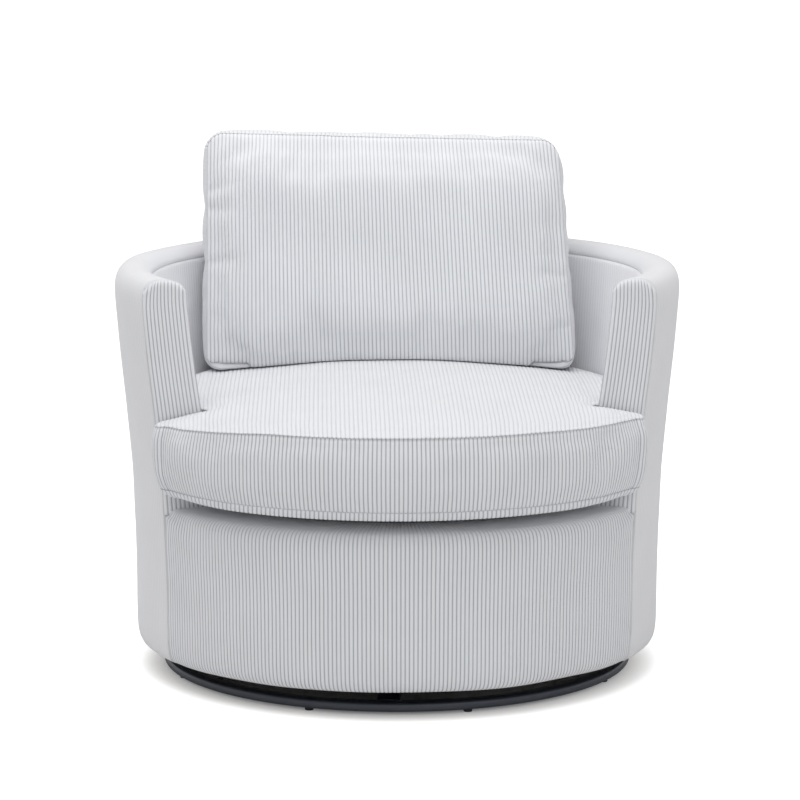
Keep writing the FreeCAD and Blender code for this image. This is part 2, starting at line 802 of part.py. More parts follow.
# Deck pad: felt and cloth on the webbing, on which the seat cushion lies
body = new_body("deck_pad")
DECK_BOTTOM = "(seat_ring_top + 2 * strap_thickness)"
disc = circle(body, "deck_disc", "XY_Plane", "0", "0", DECK_RADIUS, DECK_BOTTOM)
pad(body, disc, f"deck_height - {DECK_BOTTOM}")
keep("deck_pad", body)

# Dust cover: thin black cloth stapled under the board, with an opening for the turntable
cloth = cylinder(
    "dust_cloth", f"{BOARD_RADIUS} - dust_cover_margin", f"({BOARD_BOTTOM} - dust_cover_thickness)", BOARD_BOTTOM
)
half_opening = "(plate_side / 2 + dust_cover_gap)"
opening = block(
    "dust_opening", (f"-{half_opening}", f"-{half_opening}", RING_TOP), (half_opening, half_opening, BOARD_TOP)
)
keep("dust_cover", cut("dust_cloth_cut", cloth, opening))


# Loose cushions: padded covers sewn from panels and boxing, each over a foam core
def closed_form(rings):
    """A solid between rings of edges: flat between two straight edges, ruled between two arcs."""
    faces = [Part.Face(Part.Wire(rings[0])), Part.Face(Part.Wire(rings[-1]))]
    for lower, upper in zip(rings, rings[1:]):
        for edge, above in zip(lower, upper):
            if edge.Curve.TypeId == "Part::GeomLine":
                corners = [edge.firstVertex(), edge.lastVertex(), above.lastVertex(), above.firstVertex()]
                points = [corner.Point for corner in corners]
                faces.append(Part.Face(Part.makePolygon(points + points[:1])))
            else:
                faces.append(Part.makeRuledSurface(edge, above))
    return Part.Solid(Part.Shell(faces))


def ring_of(points, place):
    """A ring of arcs and lines, put in space by a function; an arc's middle point stands between its ends."""
    spots = [place(x, y) for x, y, *kind in points]
    edges = []
    here = 0
    while here < len(points):
        after = here + 1
        if after < len(points) and len(points[after]) == 3:
            end = (after + 1) % len(points)
            edges.append(Part.Arc(spots[here], spots[after], spots[end]).toShape())
            here = after + 1
        else:
            edges.append(Part.LineSegment(spots[here], spots[after % len(points)]).toShape())
            here = after
    return edges


def inner_wall_radius(height):
    return worth(f"{LINING_LOW} + {INNER_SLOPE} * ({height} - seat_ring_top)")


def seat_ring(height, inset):
    """The plan of the seat cushion: a round front, two ears before the arms and a round rear."""
    front = worth(SEAT_FRONT_RADIUS) - inset
    arm_front = worth("front_plane + arm_panel_thickness + ear_gap")
    ear_back = -arm_front - max(inset, 0) / 8
    corner = size("ear_corner")
    side = math.sqrt(worth(SEAT_FRONT_RADIUS) ** 2 - (arm_front + size("ear_depth")) ** 2) + corner - inset
    neck = size("neck_round")
    rear = inner_wall_radius(height) - size("cushion_side_gap") - max(inset, 0)
    front_x = side - corner
    front_y = -math.sqrt(front**2 - front_x**2)
    side_y = (front_y + ear_back) / 2
    neck_x = math.sqrt(rear**2 - (ear_back + neck) ** 2)
    neck_angle = math.atan2(ear_back + neck, neck_x)
    eased = corner * (1 - math.sqrt(0.5))
    right = [
        (front_x, front_y),
        (side - eased, side_y - (side_y - front_y) * 0.7, "via"),
        (side, side_y),
        (side - eased, ear_back - (ear_back - side_y) * 0.3, "via"),
        (front_x, ear_back),
        (neck_x + neck, ear_back),
        (neck_x, ear_back + neck),
    ]
    rear_angles = [neck_angle + (math.pi - 2 * neck_angle) * step / 4 for step in range(1, 4)]
    around = [
        (rear * math.cos(angle), rear * math.sin(angle), "via")[: 3 if step % 2 == 0 else 2]
        for step, angle in enumerate(rear_angles)
    ]
    left = [(-x, y, *kind) for x, y, *kind in reversed(right)]
    return ring_of(
        right + around + left + [(0, -front, "via")], lambda x, y: FreeCAD.Vector(x, y, height)
    )


def seat_dome(lift):
    """A great ball whose top is the crown of the seat cushion, or stands higher by the lift."""
    radius = size("seat_crown_radius") + lift
    dome = Part.makeSphere(radius)
    dome.rotate(FreeCAD.Vector(0, 0, 0), FreeCAD.Vector(0, 1, 0), 90)
    dome.translate(FreeCAD.Vector(0, -size("seat_crown_forward"), size("seat_crown_height") + lift - radius))
    return dome


def seat_cushion():
    """The crowned form of the seat cushion."""
    low = worth("deck_height + cushion_gap")
    low_seam = size("seat_low_seam_height")
    high_seam = size("seat_high_seam_height")
    crown = size("seat_crown_height")
    rise = low_seam - low
    fall = crown - high_seam
    sections = [
        (low, 0.8 * rise),
        (low_seam, 0),
        ((low_seam + high_seam) / 2, -size("seat_bulge")),
        (high_seam, 0),
        (crown, 0.5 * fall),
    ]
    form = closed_form([seat_ring(height, inset) for height, inset in sections])
    return form.common(seat_dome(0))


def seat_filling(gap):
    """The foam core of the seat cushion, or the hollow that leaves a gap round it."""
    low = worth("deck_height + seat_filling_rise") - gap
    high = size("seat_high_seam_height") + gap
    plan = Part.Wire(seat_ring(low, size("seat_filling_margin") - gap))
    return Part.Face(plan).extrude(FreeCAD.Vector(0, 0, high - low))


def back_ring(depth, inset):
    """The outline of the back cushion at one depth, in the cushion's own upright plane."""
    low = size("back_foot_height") + inset
    high = size("back_head_height") - inset
    slant = worth("back_taper / 2 / (back_head_height - back_foot_height)")
    low_x = worth(BACK_LOW_WIDTH) / 2 - inset * (1 + slant)
    high_x = worth(BACK_HIGH_WIDTH) / 2 - inset * (1 - slant)
    corner = size("back_corner")
    near = corner * (1 - math.sqrt(0.5))
    right = [
        (low_x - corner, low),
        (low_x - near, low + near, "via"),
        (low_x - slant * corner, low + corner),
        (high_x + slant * corner, high - corner),
        (high_x - near, high - near, "via"),
        (high_x - corner, high),
    ]
    left = [(-x, z, *kind) for x, z, *kind in reversed(right)]
    return ring_of(right + left, lambda x, z: FreeCAD.Vector(x, depth, z))


def leaned(shape):
    """Leans a form made upright at the seam back on to the wall."""
    foot = FreeCAD.Vector(0, 0, size("back_foot_height"))
    shape.rotate(foot, FreeCAD.Vector(1, 0, 0), -size("back_lean_angle"))
    shape.translate(FreeCAD.Vector(-size("back_shift"), size("back_seam_distance"), 0))
    return shape


def back_cushion():
    """The form of the loose back pillow, which rests on the crown of the seat cushion."""
    boxing = size("back_boxing")
    front = size("back_front_crown")
    rear = size("back_rear_crown")
    sections = [
        (-front, 2.6 * front),
        (-0.6 * front, 0.7 * front),
        (0, 0),
        (boxing, size("back_rear_draw")),
        (boxing + rear, 2.6 * rear),
    ]
    pillow = closed_form([back_ring(depth, inset) for depth, inset in sections])
    return leaned(pillow).cut(seat_dome(size("cushion_gap")))


def back_filling(gap):
    """The foam core of the back cushion, or the hollow that leaves a gap round it."""
    margin = size("back_filling_margin") - gap
    half_width = worth(BACK_HIGH_WIDTH) / 2 - margin
    low = size("back_filling_foot") - gap
    high = size("back_head_height") - margin
    near = size("back_filling_margin") / 2 - gap
    core = Part.makeBox(
        2 * half_width, size("back_boxing") - 2 * near, high - low, FreeCAD.Vector(-half_width, near, low)
    )
    return leaned(core)


for name, form, filling in (
    ("seat_cushion", seat_cushion, seat_filling), ("back_cushion", back_cushion, back_filling)
):
    cover = doc.addObject("Part::Feature", name + "_cover")
    cover.Shape = form().cut(filling(size("joint_gap")))
    keep(name + "_cover", cover)
    core = doc.addObject("Part::Feature", name + "_filling")
    core.Shape = filling(0)
    keep(name + "_filling", core)

doc.recompute()
for item in doc.Objects:
    if "Invalid" in item.State or "Error" in item.State:
        raise ValueError(f"{item.Label} did not build: {item.State}")
for label, item in parts.items():
    if item.Shape.isNull() or not item.Shape.isValid():
        raise ValueError(f"{label} has no valid shape")

os.makedirs("parts", exist_ok=True)
for label, item in parts.items():
    item.Shape.exportStep(f"parts/{label}.step")
print(len(parts), "sub-parts written")
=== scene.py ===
"""Swivel barrel chair in pale corduroy: what each piece looks like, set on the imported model.

Sizes are written in millimetres, as in the part, and turned to metres where a mesh is made.
"""

import contextlib
import math

import bmesh
import bpy
import numpy as np
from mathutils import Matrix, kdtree


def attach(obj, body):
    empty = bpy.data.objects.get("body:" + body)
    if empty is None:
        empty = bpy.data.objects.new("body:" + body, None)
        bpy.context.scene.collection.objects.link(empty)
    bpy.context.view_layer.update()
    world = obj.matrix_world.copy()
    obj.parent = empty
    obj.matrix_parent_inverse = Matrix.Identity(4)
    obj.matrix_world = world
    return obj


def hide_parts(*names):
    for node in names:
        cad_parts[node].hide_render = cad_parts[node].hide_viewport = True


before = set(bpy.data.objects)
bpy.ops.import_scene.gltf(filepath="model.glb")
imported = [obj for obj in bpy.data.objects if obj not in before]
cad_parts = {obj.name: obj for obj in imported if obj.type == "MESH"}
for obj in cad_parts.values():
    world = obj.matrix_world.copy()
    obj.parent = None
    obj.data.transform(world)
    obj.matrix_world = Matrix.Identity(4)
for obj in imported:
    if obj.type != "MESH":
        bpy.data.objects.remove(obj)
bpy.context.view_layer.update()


# Standing ring. A flat oblong steel tube is rolled to a hoop, its ends are butt
# welded and ground flush, and it is powder coated in satin black.
RING_OUTER = 335
RING_WIDTH = 24
RING_LOW = 5
RING_HIGH = 17
RING_EDGE = 3.5
RING_MIDDLE = RING_OUTER - RING_WIDTH / 2


def linear(code):
    """An sRGB hex colour as the linear colour that a shader takes."""
    parts = [int(code[at:at + 2], 16) / 255 for at in (1, 3, 5)]
    return [c / 12.92 if c <= 0.04045 else ((c + 0.055) / 1.055) ** 2.4 for c in parts] + [1]


def join_to(owner, node, links):
    """Links outputs of other nodes to inputs of a node, as (node, output) by input."""
    for key, (source, output) in links.items():
        owner.node_tree.links.new(source.outputs[output], node.inputs[key])


def add_node(owner, kind, settings=None, links=None):
    """Adds one node. Settings are its properties or inputs, and links are (node, output) by input."""
    node = owner.node_tree.nodes.new("ShaderNode" + kind)
    for key, value in (settings or {}).items():
        if isinstance(key, int) or key in node.inputs:
            node.inputs[key].default_value = value
        else:
            setattr(node, key, value)
    join_to(owner, node, links or {})
    return node


def finish_named(name, values):
    """A new material of one finish, with the values of its shader."""
    material = bpy.data.materials.new(name)
    material.use_nodes = True
    shader = material.node_tree.nodes["Principled BSDF"]
    for key, value in values.items():
        shader.inputs[key].default_value = value
    return material, shader


def mixed(material, low, high, factor):
    """A colour between two hex colours, which follows an output of a node."""
    ends = {"data_type": "RGBA", 6: linear(low), 7: linear(high)}
    return add_node(material, "Mix", ends, {"Factor": factor})


def bumped(material, strength, distance, height):
    return add_node(material, "Bump", {"Strength": strength, "Distance": distance}, {"Height": height})


def patterned(name, values, kind, settings, tints=None, bump=None, output="Fac"):
    """A finish with one pattern laid on the object, which tints the colour, roughens the surface or both."""
    material, shader = finish_named(name, values)
    place = add_node(material, "TexCoord")
    pattern = add_node(material, kind, settings, {"Vector": (place, "Object")})
    if tints:
        join_to(material, shader, {"Base Color": (mixed(material, *tints, (pattern, output)), 2)})
    if bump:
        join_to(material, shader, {"Normal": (bumped(material, *bump, (pattern, output)), "Normal")})
    return material


def select_only(*pieces):
    if bpy.context.object and bpy.context.object.mode != "OBJECT":
        bpy.ops.object.mode_set(mode="OBJECT")
    bpy.ops.object.select_all(action="DESELECT")
    for piece in pieces:
        piece.select_set(True)
    bpy.context.view_layer.objects.active = pieces[0]


def settle(piece, name, material, body, replaced):
    """Names a finished piece, puts its place in its mesh and ties it to the frame."""
    piece.name = name
    piece.data.name = name
    select_only(piece)
    bpy.ops.object.transform_apply(location=True, rotation=True, scale=True)
    piece.data.materials.clear()
    piece.data.materials.append(material)
    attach(piece, body)
    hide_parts(*replaced)


# Satin black powder coat: a fine orange peel of about 1.5 mm breaks up the highlights.
powder_coat = patterned("powder coated steel, satin black", {
    "Base Color": linear("#323843"), "Roughness": 0.38, "Coat Weight": 0.15, "Coat Roughness": 0.35,
}, "TexNoise", {"Scale": 650, "Detail": 2}, bump=(0.12, 0.0002))

bpy.ops.object.select_all(action="DESELECT")
bpy.ops.mesh.primitive_plane_add(
    size=1, location=(RING_MIDDLE / 1000, 0, (RING_LOW + RING_HIGH) / 2000), rotation=(math.pi / 2, 0, 0)
)
ring = bpy.context.object
ring.scale = (RING_WIDTH / 1000, (RING_HIGH - RING_LOW) / 1000, 1)
bpy.ops.object.transform_apply(location=True, rotation=True, scale=True)
bpy.ops.object.mode_set(mode="EDIT")
bpy.ops.mesh.select_all(action="SELECT")
bpy.ops.mesh.bevel(offset=RING_EDGE / 1000, segments=4, affect="VERTICES")
bpy.ops.mesh.select_all(action="SELECT")
bpy.ops.mesh.delete(type="ONLY_FACE")
bpy.ops.mesh.select_all(action="SELECT")
bpy.ops.mesh.spin(steps=160, angle=2 * math.pi, center=(0, 0, 0), axis=(0, 0, 1))
bpy.ops.mesh.select_all(action="SELECT")
bpy.ops.mesh.remove_doubles(threshold=0.00001)
bpy.ops.mesh.normals_make_consistent(inside=False)
bpy.ops.object.mode_set(mode="OBJECT")
bpy.ops.object.shade_smooth_by_angle(angle=math.radians(40))
settle(ring, "standing_ring", powder_coat, "base", ["base_ring"])


# Glides. Eight moulded nylon plugs are pressed into holes under the ring, and
# they are all that touches the floor.
GLIDE_RADIUS = 6
GLIDE_HEIGHT = 5
GLIDE_EDGE = 1.2
BASE_TURN = -3.4
GLIDE_ANGLES = [turn + angle for turn in (0, 180) for angle in (-19.5, 19.5, -66, 66)]


def spread(first, radius, height, turns):
    """Copies a finished piece round the swivel axis, at the given turns, and joins the copies."""
    pieces = [first]
    for _ in turns[1:]:
        select_only(first)
        bpy.ops.object.duplicate()
        pieces.append(bpy.context.object)
    for piece, turn in zip(pieces, turns):
        piece.location = (radius / 1000 * math.cos(turn), radius / 1000 * math.sin(turn), height / 1000)
    select_only(*pieces)
    bpy.ops.object.join()


# Moulded nylon: slightly soft gloss, with the faint grain of a spark-eroded mould.
nylon = patterned("moulded nylon, black", {
    "Base Color": linear("#1c1c1d"), "Roughness": 0.5, "IOR": 1.53,
}, "TexNoise", {"Scale": 1600, "Detail": 3}, bump=(0.15, 0.0001))

bpy.ops.object.select_all(action="DESELECT")
bpy.ops.mesh.primitive_cylinder_add(
    vertices=40, radius=GLIDE_RADIUS / 1000, depth=GLIDE_HEIGHT / 1000, location=(0, 0, GLIDE_HEIGHT / 2000)
)
glide = bpy.context.object
bpy.ops.object.transform_apply(location=True, rotation=False, scale=False)
bpy.ops.object.mode_set(mode="EDIT")
bpy.ops.mesh.select_all(action="DESELECT")
bpy.ops.object.mode_set(mode="OBJECT")
for edge in glide.data.edges:
    edge.select = all(glide.data.vertices[number].co.z < 0.0001 for number in edge.vertices)
bpy.ops.object.mode_set(mode="EDIT")
bpy.ops.mesh.bevel(offset=GLIDE_EDGE / 1000, segments=3)
bpy.ops.object.mode_set(mode="OBJECT")
bpy.ops.object.shade_smooth_by_angle(angle=math.radians(50))
spread(glide, RING_MIDDLE, 0, [math.radians(BASE_TURN + angle - 90) for angle in GLIDE_ANGLES])
settle(glide, "ring_glides", nylon, "base", ["foot_glides"])


# Cross tubes. Three oblong steel tubes, coped to the hoop and welded, carry the
# turntable. They are coated together with the ring.
def dress(name, material):
    """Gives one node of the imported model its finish."""
    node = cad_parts[name]
    if not node.material_slots:
        node.data.materials.append(material)
    for slot in node.material_slots:
        slot.link = "OBJECT"
        slot.material = material


for name in ("base_cross_tube", "base_front_tube", "base_rear_tube"):
    dress(name, powder_coat)


# Turntable. Two pressed and zinc plated steel plates turn on twelve bearing
# balls in a stamped cage. Four bolts and nuts hold the upper one to the board.
BALL_RADIUS = 5
BALL_COUNT = 12
RACE_RADIUS = 85
RACE_HEIGHT = 28

# Zinc plating: pale bluish crystals of about 4 mm, as on bright dipped hardware.
zinc = patterned(
    "zinc plated steel", {"Metallic": 1, "Roughness": 0.34}, "TexVoronoi", {"Scale": 250},
    tints=("#b4b8ba", "#cfd3d2"), output="Distance",
)

# Bright cold-rolled steel, oiled: fine lines of about 0.4 mm from the rolls.
rolled_steel = patterned("cold rolled steel, oiled", {
    "Base Color": linear("#8f9294"), "Metallic": 1, "Roughness": 0.3,
}, "TexWave", {"Scale": 400, "Distortion": 3}, bump=(0.08, 0.0001))

# Hardened bearing steel, lapped: a near mirror with a thin haze of grease.
bearing_steel, shader = finish_named("bearing steel, lapped", {
    "Base Color": linear("#b9bcbf"), "Metallic": 1,
})
place = add_node(bearing_steel, "TexCoord")
grease = add_node(bearing_steel, "TexNoise", {"Scale": 220, "Detail": 2}, {"Vector": (place, "Object")})
haze = add_node(bearing_steel, "MapRange", {"To Min": 0.08, "To Max": 0.22}, {"Value": (grease, "Fac")})
join_to(bearing_steel, shader, {"Roughness": (haze, "Result")})

for name in (
    "lower_swivel_plate", "upper_swivel_plate", "upper_plate_bolts", "upper_plate_nuts", "swivel_pin",
):
    dress(name, zinc)
dress("ball_cage", rolled_steel)
bpy.ops.object.select_all(action="DESELECT")
bpy.ops.mesh.primitive_ico_sphere_add(subdivisions=3, radius=BALL_RADIUS / 1000, location=(0, 0, 0))
ball = bpy.context.object
bpy.ops.object.shade_smooth()
spread(ball, RACE_RADIUS, RACE_HEIGHT, [2 * math.pi * number / BALL_COUNT for number in range(BALL_COUNT)])
settle(ball, "race_balls", bearing_steel, "ball_cage", ["bearing_balls"])


# Timber frame. A birch plywood board, seat ring, apron, arm boards and top rail
# are cut on a router, and eight sawn hardwood uprights are glued between them.
def drawn_out(material, place, scale, detail):
    """Noise drawn out along the grain of wood."""
    scaled = add_node(material, "Mapping", {"Scale": scale}, {"Vector": (place, "Object")})
    return add_node(material, "TexNoise", {"Scale": 1, "Detail": detail}, {"Vector": (scaled, "Vector")})


def plywood_named(name, ply_direction):
    """Birch plywood: faces with long grain, and edges with plies of about 1.5 mm."""
    material, shader = finish_named(name, {"Roughness": 0.62})
    place = add_node(material, "TexCoord")
    grain = drawn_out(material, place, (12, 160, 160), 6)
    face = mixed(material, "#d9c09a", "#c4a477", (grain, "Fac"))
    plies = add_node(material, "TexWave", {
        "bands_direction": ply_direction, "Scale": 105, "Distortion": 0.3, "wave_profile": "SIN",
    }, {"Vector": (place, "Object")})
    edge = mixed(material, "#a5825a", "#d5bb92", (plies, "Fac"))
    facing = add_node(material, "NewGeometry")
    turned = add_node(material, "SeparateXYZ", {}, {"Vector": (facing, "Normal")})
    level = add_node(material, "Math", {"operation": "ABSOLUTE"}, {0: (turned, "XYZ".index(ply_direction))})
    flat = add_node(material, "Math", {"operation": "GREATER_THAN", 1: 0.7}, {0: (level, 0)})
    tint = add_node(material, "Mix", {"data_type": "RGBA"}, {"Factor": (flat, 0), 6: (edge, 2), 7: (face, 2)})
    bump = bumped(material, 0.2, 0.0003, (grain, "Fac"))
    join_to(material, shader, {"Base Color": (tint, 2), "Normal": (bump, "Normal")})
    return material


plywood_flat = plywood_named("birch plywood, lying", "Z")
plywood_upright = plywood_named("birch plywood, standing", "Y")

# Sawn beech: pinkish straight grain along the length, with short dark flecks.
beech, shader = finish_named("sawn beech", {"Roughness": 0.7})
place = add_node(beech, "TexCoord")
grain = drawn_out(beech, place, (180, 180, 9), 8)
flecks = drawn_out(beech, place, (700, 700, 120), 2)
fleck_edge = add_node(beech, "MapRange", {"From Min": 0.62, "From Max": 0.7}, {"Value": (flecks, "Fac")})
tint = mixed(beech, "#cfa57c", "#b98a60", (grain, "Fac"))
flecked = add_node(beech, "Mix", {"data_type": "RGBA", 7: linear("#94683f")}, {
    "Factor": (fleck_edge, "Result"), 6: (tint, 2),
})
bump = bumped(beech, 0.3, 0.0003, (grain, "Fac"))
join_to(beech, shader, {"Base Color": (flecked, 2), "Normal": (bump, "Normal")})

for name in ("bottom_board", "seat_frame_ring", "front_apron", "top_rail"):
    dress(name, plywood_flat)
for side in ("left", "right"):
    dress(f"arm_front_board_{side}", plywood_upright)
    for spot in ("front", "mid_front", "mid_rear", "rear"):
        dress(f"upright_{side}_{spot}", beech)


# Webbing. Eight elastic polypropylene straps, woven 50 mm wide, are stretched
# over the seat ring, four each way, and stapled.

# Woven polypropylene: threads of about 1.2 mm each way, a little shiny.
webbing = patterned(
    "woven polypropylene webbing, brown", {"Roughness": 0.55}, "TexChecker", {"Scale": 830},
    tints=("#5d4f43", "#3f352d"), bump=(0.5, 0.0003),
)

for direction in ("lengthwise", "crosswise"):
    for number in range(1, 5):
        dress(f"webbing_{direction}_{number}", webbing)


# Deck pad. A disc of foam under plain pale cloth lies on the webbing. Only the
# seat cushion rests on it, and it is seen when the cushion is lifted off.
DECK_RADIUS = 311.7
DECK_LOW = 243
DECK_HIGH = 262
DECK_LOW_ROUND = 4
DECK_HIGH_ROUND = 7

# Plain woven polycotton: threads of about 0.9 mm, drawn at 1.8 mm so that they show.
deck_cloth, shader = finish_named("plain woven polycotton, pale grey", {
    "Roughness": 0.9, "Sheen Weight": 0.1,
})
place = add_node(deck_cloth, "TexCoord")
threads = add_node(deck_cloth, "TexChecker", {"Scale": 560}, {"Vector": (place, "Object")})
slubs = add_node(deck_cloth, "TexNoise", {"Scale": 60, "Detail": 4}, {"Vector": (place, "Object")})
tint = mixed(deck_cloth, "#c3c5c9", "#b5b8bd", (slubs, "Fac"))
bump = bumped(deck_cloth, 0.35, 0.0003, (threads, "Fac"))
join_to(deck_cloth, shader, {"Base Color": (tint, 2), "Normal": (bump, "Normal")})


def placed(name, data):
    """A new object in the scene with a mesh, lamp or camera of its own."""
    item = bpy.data.objects.new(name, data)
    bpy.context.scene.collection.objects.link(item)
    return item


def sew(name, panels):
    """One mesh of many panels. A panel is (points in mm, wale numbers, lengths in wales) on a grid; plain
    cloth has 0 for both."""
    corners, faces, places = [], [], []
    for points, wales, lengths in panels:
        rows, columns = points.shape[:2]
        first = sum(len(part) for part in corners)
        corners.append(points.reshape(-1, 3) / 1000)
        spread_out = [np.broadcast_to(given, (rows, columns)).ravel() for given in (wales, lengths)]
        places.append(np.stack(spread_out, 1))
        number = first + np.arange(rows * columns).reshape(rows, columns)
        around = (number[:-1, :-1], number[:-1, 1:], number[1:, 1:], number[1:, :-1])
        faces.append(np.stack([corner.ravel() for corner in around], 1))
    corners = np.concatenate(corners)
    faces = np.concatenate(faces)
    places = np.concatenate(places)
    mesh = bpy.data.meshes.new(name)
    mesh.from_pydata(corners.tolist(), [], faces.tolist())
    layer = mesh.uv_layers.new(name="wales")
    layer.data.foreach_set("uv", places[faces.ravel()].astype(np.float32).ravel())
    mesh.polygons.foreach_set("use_smooth", np.ones(len(faces), bool))
    return placed(name, mesh)


@contextlib.contextmanager
def reshaped(piece):
    """Opens the mesh of a piece for editing and puts it back."""
    shape = bmesh.new()
    shape.from_mesh(piece.data)
    yield shape
    shape.to_mesh(piece.data)
    shape.free()


def close_up(piece):
    """Merges the edges where panels meet, fills what is open and turns all faces outwards."""
    with reshaped(piece) as shape:
        bmesh.ops.remove_doubles(shape, verts=shape.verts, dist=0.00002)
        bmesh.ops.dissolve_degenerate(shape, edges=shape.edges, dist=1e-6)
        bmesh.ops.holes_fill(shape, edges=[edge for edge in shape.edges if edge.is_boundary], sides=0)
        bmesh.ops.recalc_face_normals(shape, faces=shape.faces)
    return piece


deck_rim = [(math.sin(step * math.pi / 12), 1 - math.cos(step * math.pi / 12)) for step in range(7)]
low_rim, high_rim = DECK_RADIUS - DECK_LOW_ROUND, DECK_RADIUS - DECK_HIGH_ROUND
deck_profile = [(0, DECK_LOW), (low_rim, DECK_LOW)]
deck_profile += [(low_rim + DECK_LOW_ROUND * out, DECK_LOW + DECK_LOW_ROUND * rise) for out, rise in deck_rim]
deck_profile += [
    (high_rim + DECK_HIGH_ROUND * (1 - rise), DECK_HIGH - DECK_HIGH_ROUND * (1 - out))
    for out, rise in deck_rim
]
deck_profile += [(radius, DECK_HIGH) for radius in (295, 260, 220, 180, 140, 100, 60, 25, 0)]
turns = np.linspace(0, 2 * math.pi, 145)
deck_points = np.array([
    [(radius * math.cos(turn), radius * math.sin(turn), height) for turn in turns]
    for radius, height in deck_profile
])
deck = close_up(sew("deck_pad_cover", [(deck_points, 0, 0)]))
settle(deck, "deck_pad_cover", deck_cloth, "chair", ["deck_pad"])


# Dust cover. A disc of thin black non-woven cloth with a square hole for the
# turntable is stretched under the board and stapled round the edge.
COVER_RADIUS = 348
COVER_HOLE = 108
COVER_TOP = 38.85
COVER_SAG = 0.9
COVER_THICKNESS = 0.3

# Spunbonded polypropylene: a dull black felt with bonded dots about 2 mm apart.
spunbond = patterned(
    "spunbonded polypropylene, black", {"Roughness": 0.95}, "TexVoronoi", {"Scale": 500, "Randomness": 0.2},
    tints=("#141416", "#26272a"), bump=(0.4, 0.0002), output="Distance",
)

turns = np.linspace(0, 2 * math.pi, 193)
hole_reach = COVER_HOLE / np.maximum(np.abs(np.cos(turns)), np.abs(np.sin(turns)))
cover_rows = []
for share in np.linspace(0, 1, 15):
    reach = hole_reach + (COVER_RADIUS - hole_reach) * share
    sag = COVER_SAG * np.sin(math.pi * share) * (1 + 0.3 * np.sin(5 * turns))
    cover_rows.append(np.stack([reach * np.cos(turns), reach * np.sin(turns), COVER_TOP - sag], 1))
dust_cover = sew("dust_cloth", [(np.array(cover_rows), 0, 0)])
with reshaped(dust_cover) as shape:
    bmesh.ops.remove_doubles(shape, verts=shape.verts, dist=0.00001)
    bmesh.ops.recalc_face_normals(shape, faces=shape.faces)
select_only(dust_cover)
solid = dust_cover.modifiers.new("cloth thickness", "SOLIDIFY")
solid.thickness = COVER_THICKNESS / 1000
solid.offset = 0
bpy.ops.object.modifier_apply(modifier=solid.name)
settle(dust_cover, "dust_cloth", spunbond, "chair", ["dust_cover"])


# Outer shell. Corduroy over a thin layer of wadding is pulled round the uprights
# from one arm front to the other, over the top rail and under the board.
FRONT_PLANE = 188
WALE_PITCH = 5.8
SHELL_PROFILE = [
    (359, 39.6), (363, 39.3), (366.5, 41.2), (369.3, 45), (371.2, 51), (372.3, 60), (373, 84), (373.3, 130),
    (374, 177), (374.6, 201), (375.6, 224), (376.4, 247), (377.2, 270), (378.4, 294), (380.2, 317),
    (382, 340), (383.9, 363), (385.8, 386), (388.1, 409), (390.5, 432), (392.9, 455), (395, 478),
    (396.9, 501), (398.7, 524), (399.6, 540), (399.5, 549), (398.3, 557.5), (396, 564.5), (392.6, 570),
    (388, 573.8), (382, 575.6), (374, 576), (366, 575.6), (359.5, 573.8), (354, 570.4), (349.6, 565.6),
    (347.4, 562), (346.9, 558.6), (347, 557), (347.9, 556.3),
]
SHELL_BACK = [(357.4, 556.2), (357.6, 562), (389, 562), (372, 340), (364, 120), (359, 57)]


def walked(line):
    """How far along a line each of its points lies."""
    return np.concatenate([[0], np.cumsum(np.linalg.norm(np.diff(line, axis=0), axis=1))])


def smooth_line(path, count):
    """The path as a smooth line through its points, at even steps."""
    path = np.array(path, float)
    steps = walked(path)
    slopes = np.gradient(path, steps, axis=0)
    at = np.linspace(0, steps[-1], count)
    spot = np.clip(np.searchsorted(steps, at, side="right") - 1, 0, len(steps) - 2)
    span = (steps[spot + 1] - steps[spot])[:, None]
    share = (at - steps[spot])[:, None] / span
    a, b, c, d = path[spot], slopes[spot] * span, path[spot + 1], slopes[spot + 1] * span
    return (
        a * (2 * share**3 - 3 * share**2 + 1) + b * (share**3 - 2 * share**2 + share)
        + c * (3 * share**2 - 2 * share**3) + d * (share**3 - share**2)
    )


def swept(profile, places, plane, rear):
    """The profile carried round the swivel axis between the arm fronts, behind them or before them."""
    profile = np.asarray(profile)
    half = np.arccos(-plane / profile[:, 0]) if rear else np.arccos(plane / profile[:, 0])
    turn = half[:, None] * places[None, :]
    ahead = np.cos(turn) * profile[:, :1]
    aside = np.sin(turn) * profile[:, :1]
    heights = np.broadcast_to(profile[:, 1:2], aside.shape)
    return np.stack([aside, ahead if rear else -ahead, heights], 2)


def soft_noise(points, size, seed):
    """A smooth uneven field from -1 to 1, whose swells are about the given size in mm."""
    dice = np.random.default_rng(seed)
    total = np.zeros(points.shape[:-1])
    for _ in range(9):
        direction = dice.normal(size=3)
        direction /= np.linalg.norm(direction)
        wave = 2 * math.pi / (size * dice.uniform(0.8, 2.2))
        total += np.sin(points @ direction * wave + dice.uniform(0, 2 * math.pi))
    return total / 4


def normals_of(points):
    across = np.gradient(points, axis=1)
    along = np.gradient(points, axis=0)
    normal = np.cross(across, along)
    return normal / np.maximum(np.linalg.norm(normal, axis=2, keepdims=True), 1e-9)


def backed(name, panel, profile, back, places, plane, rear):
    """A panel swept along a profile, sewn to the plain back that closes it."""
    points = panel[0]
    back_points = swept(np.array([profile[-1]] + back + [profile[0]], float), places, plane, rear)
    back_points[0] = points[-1]
    back_points[-1] = points[0]
    return close_up(sew(name, [panel, (back_points, 0, 0)]))


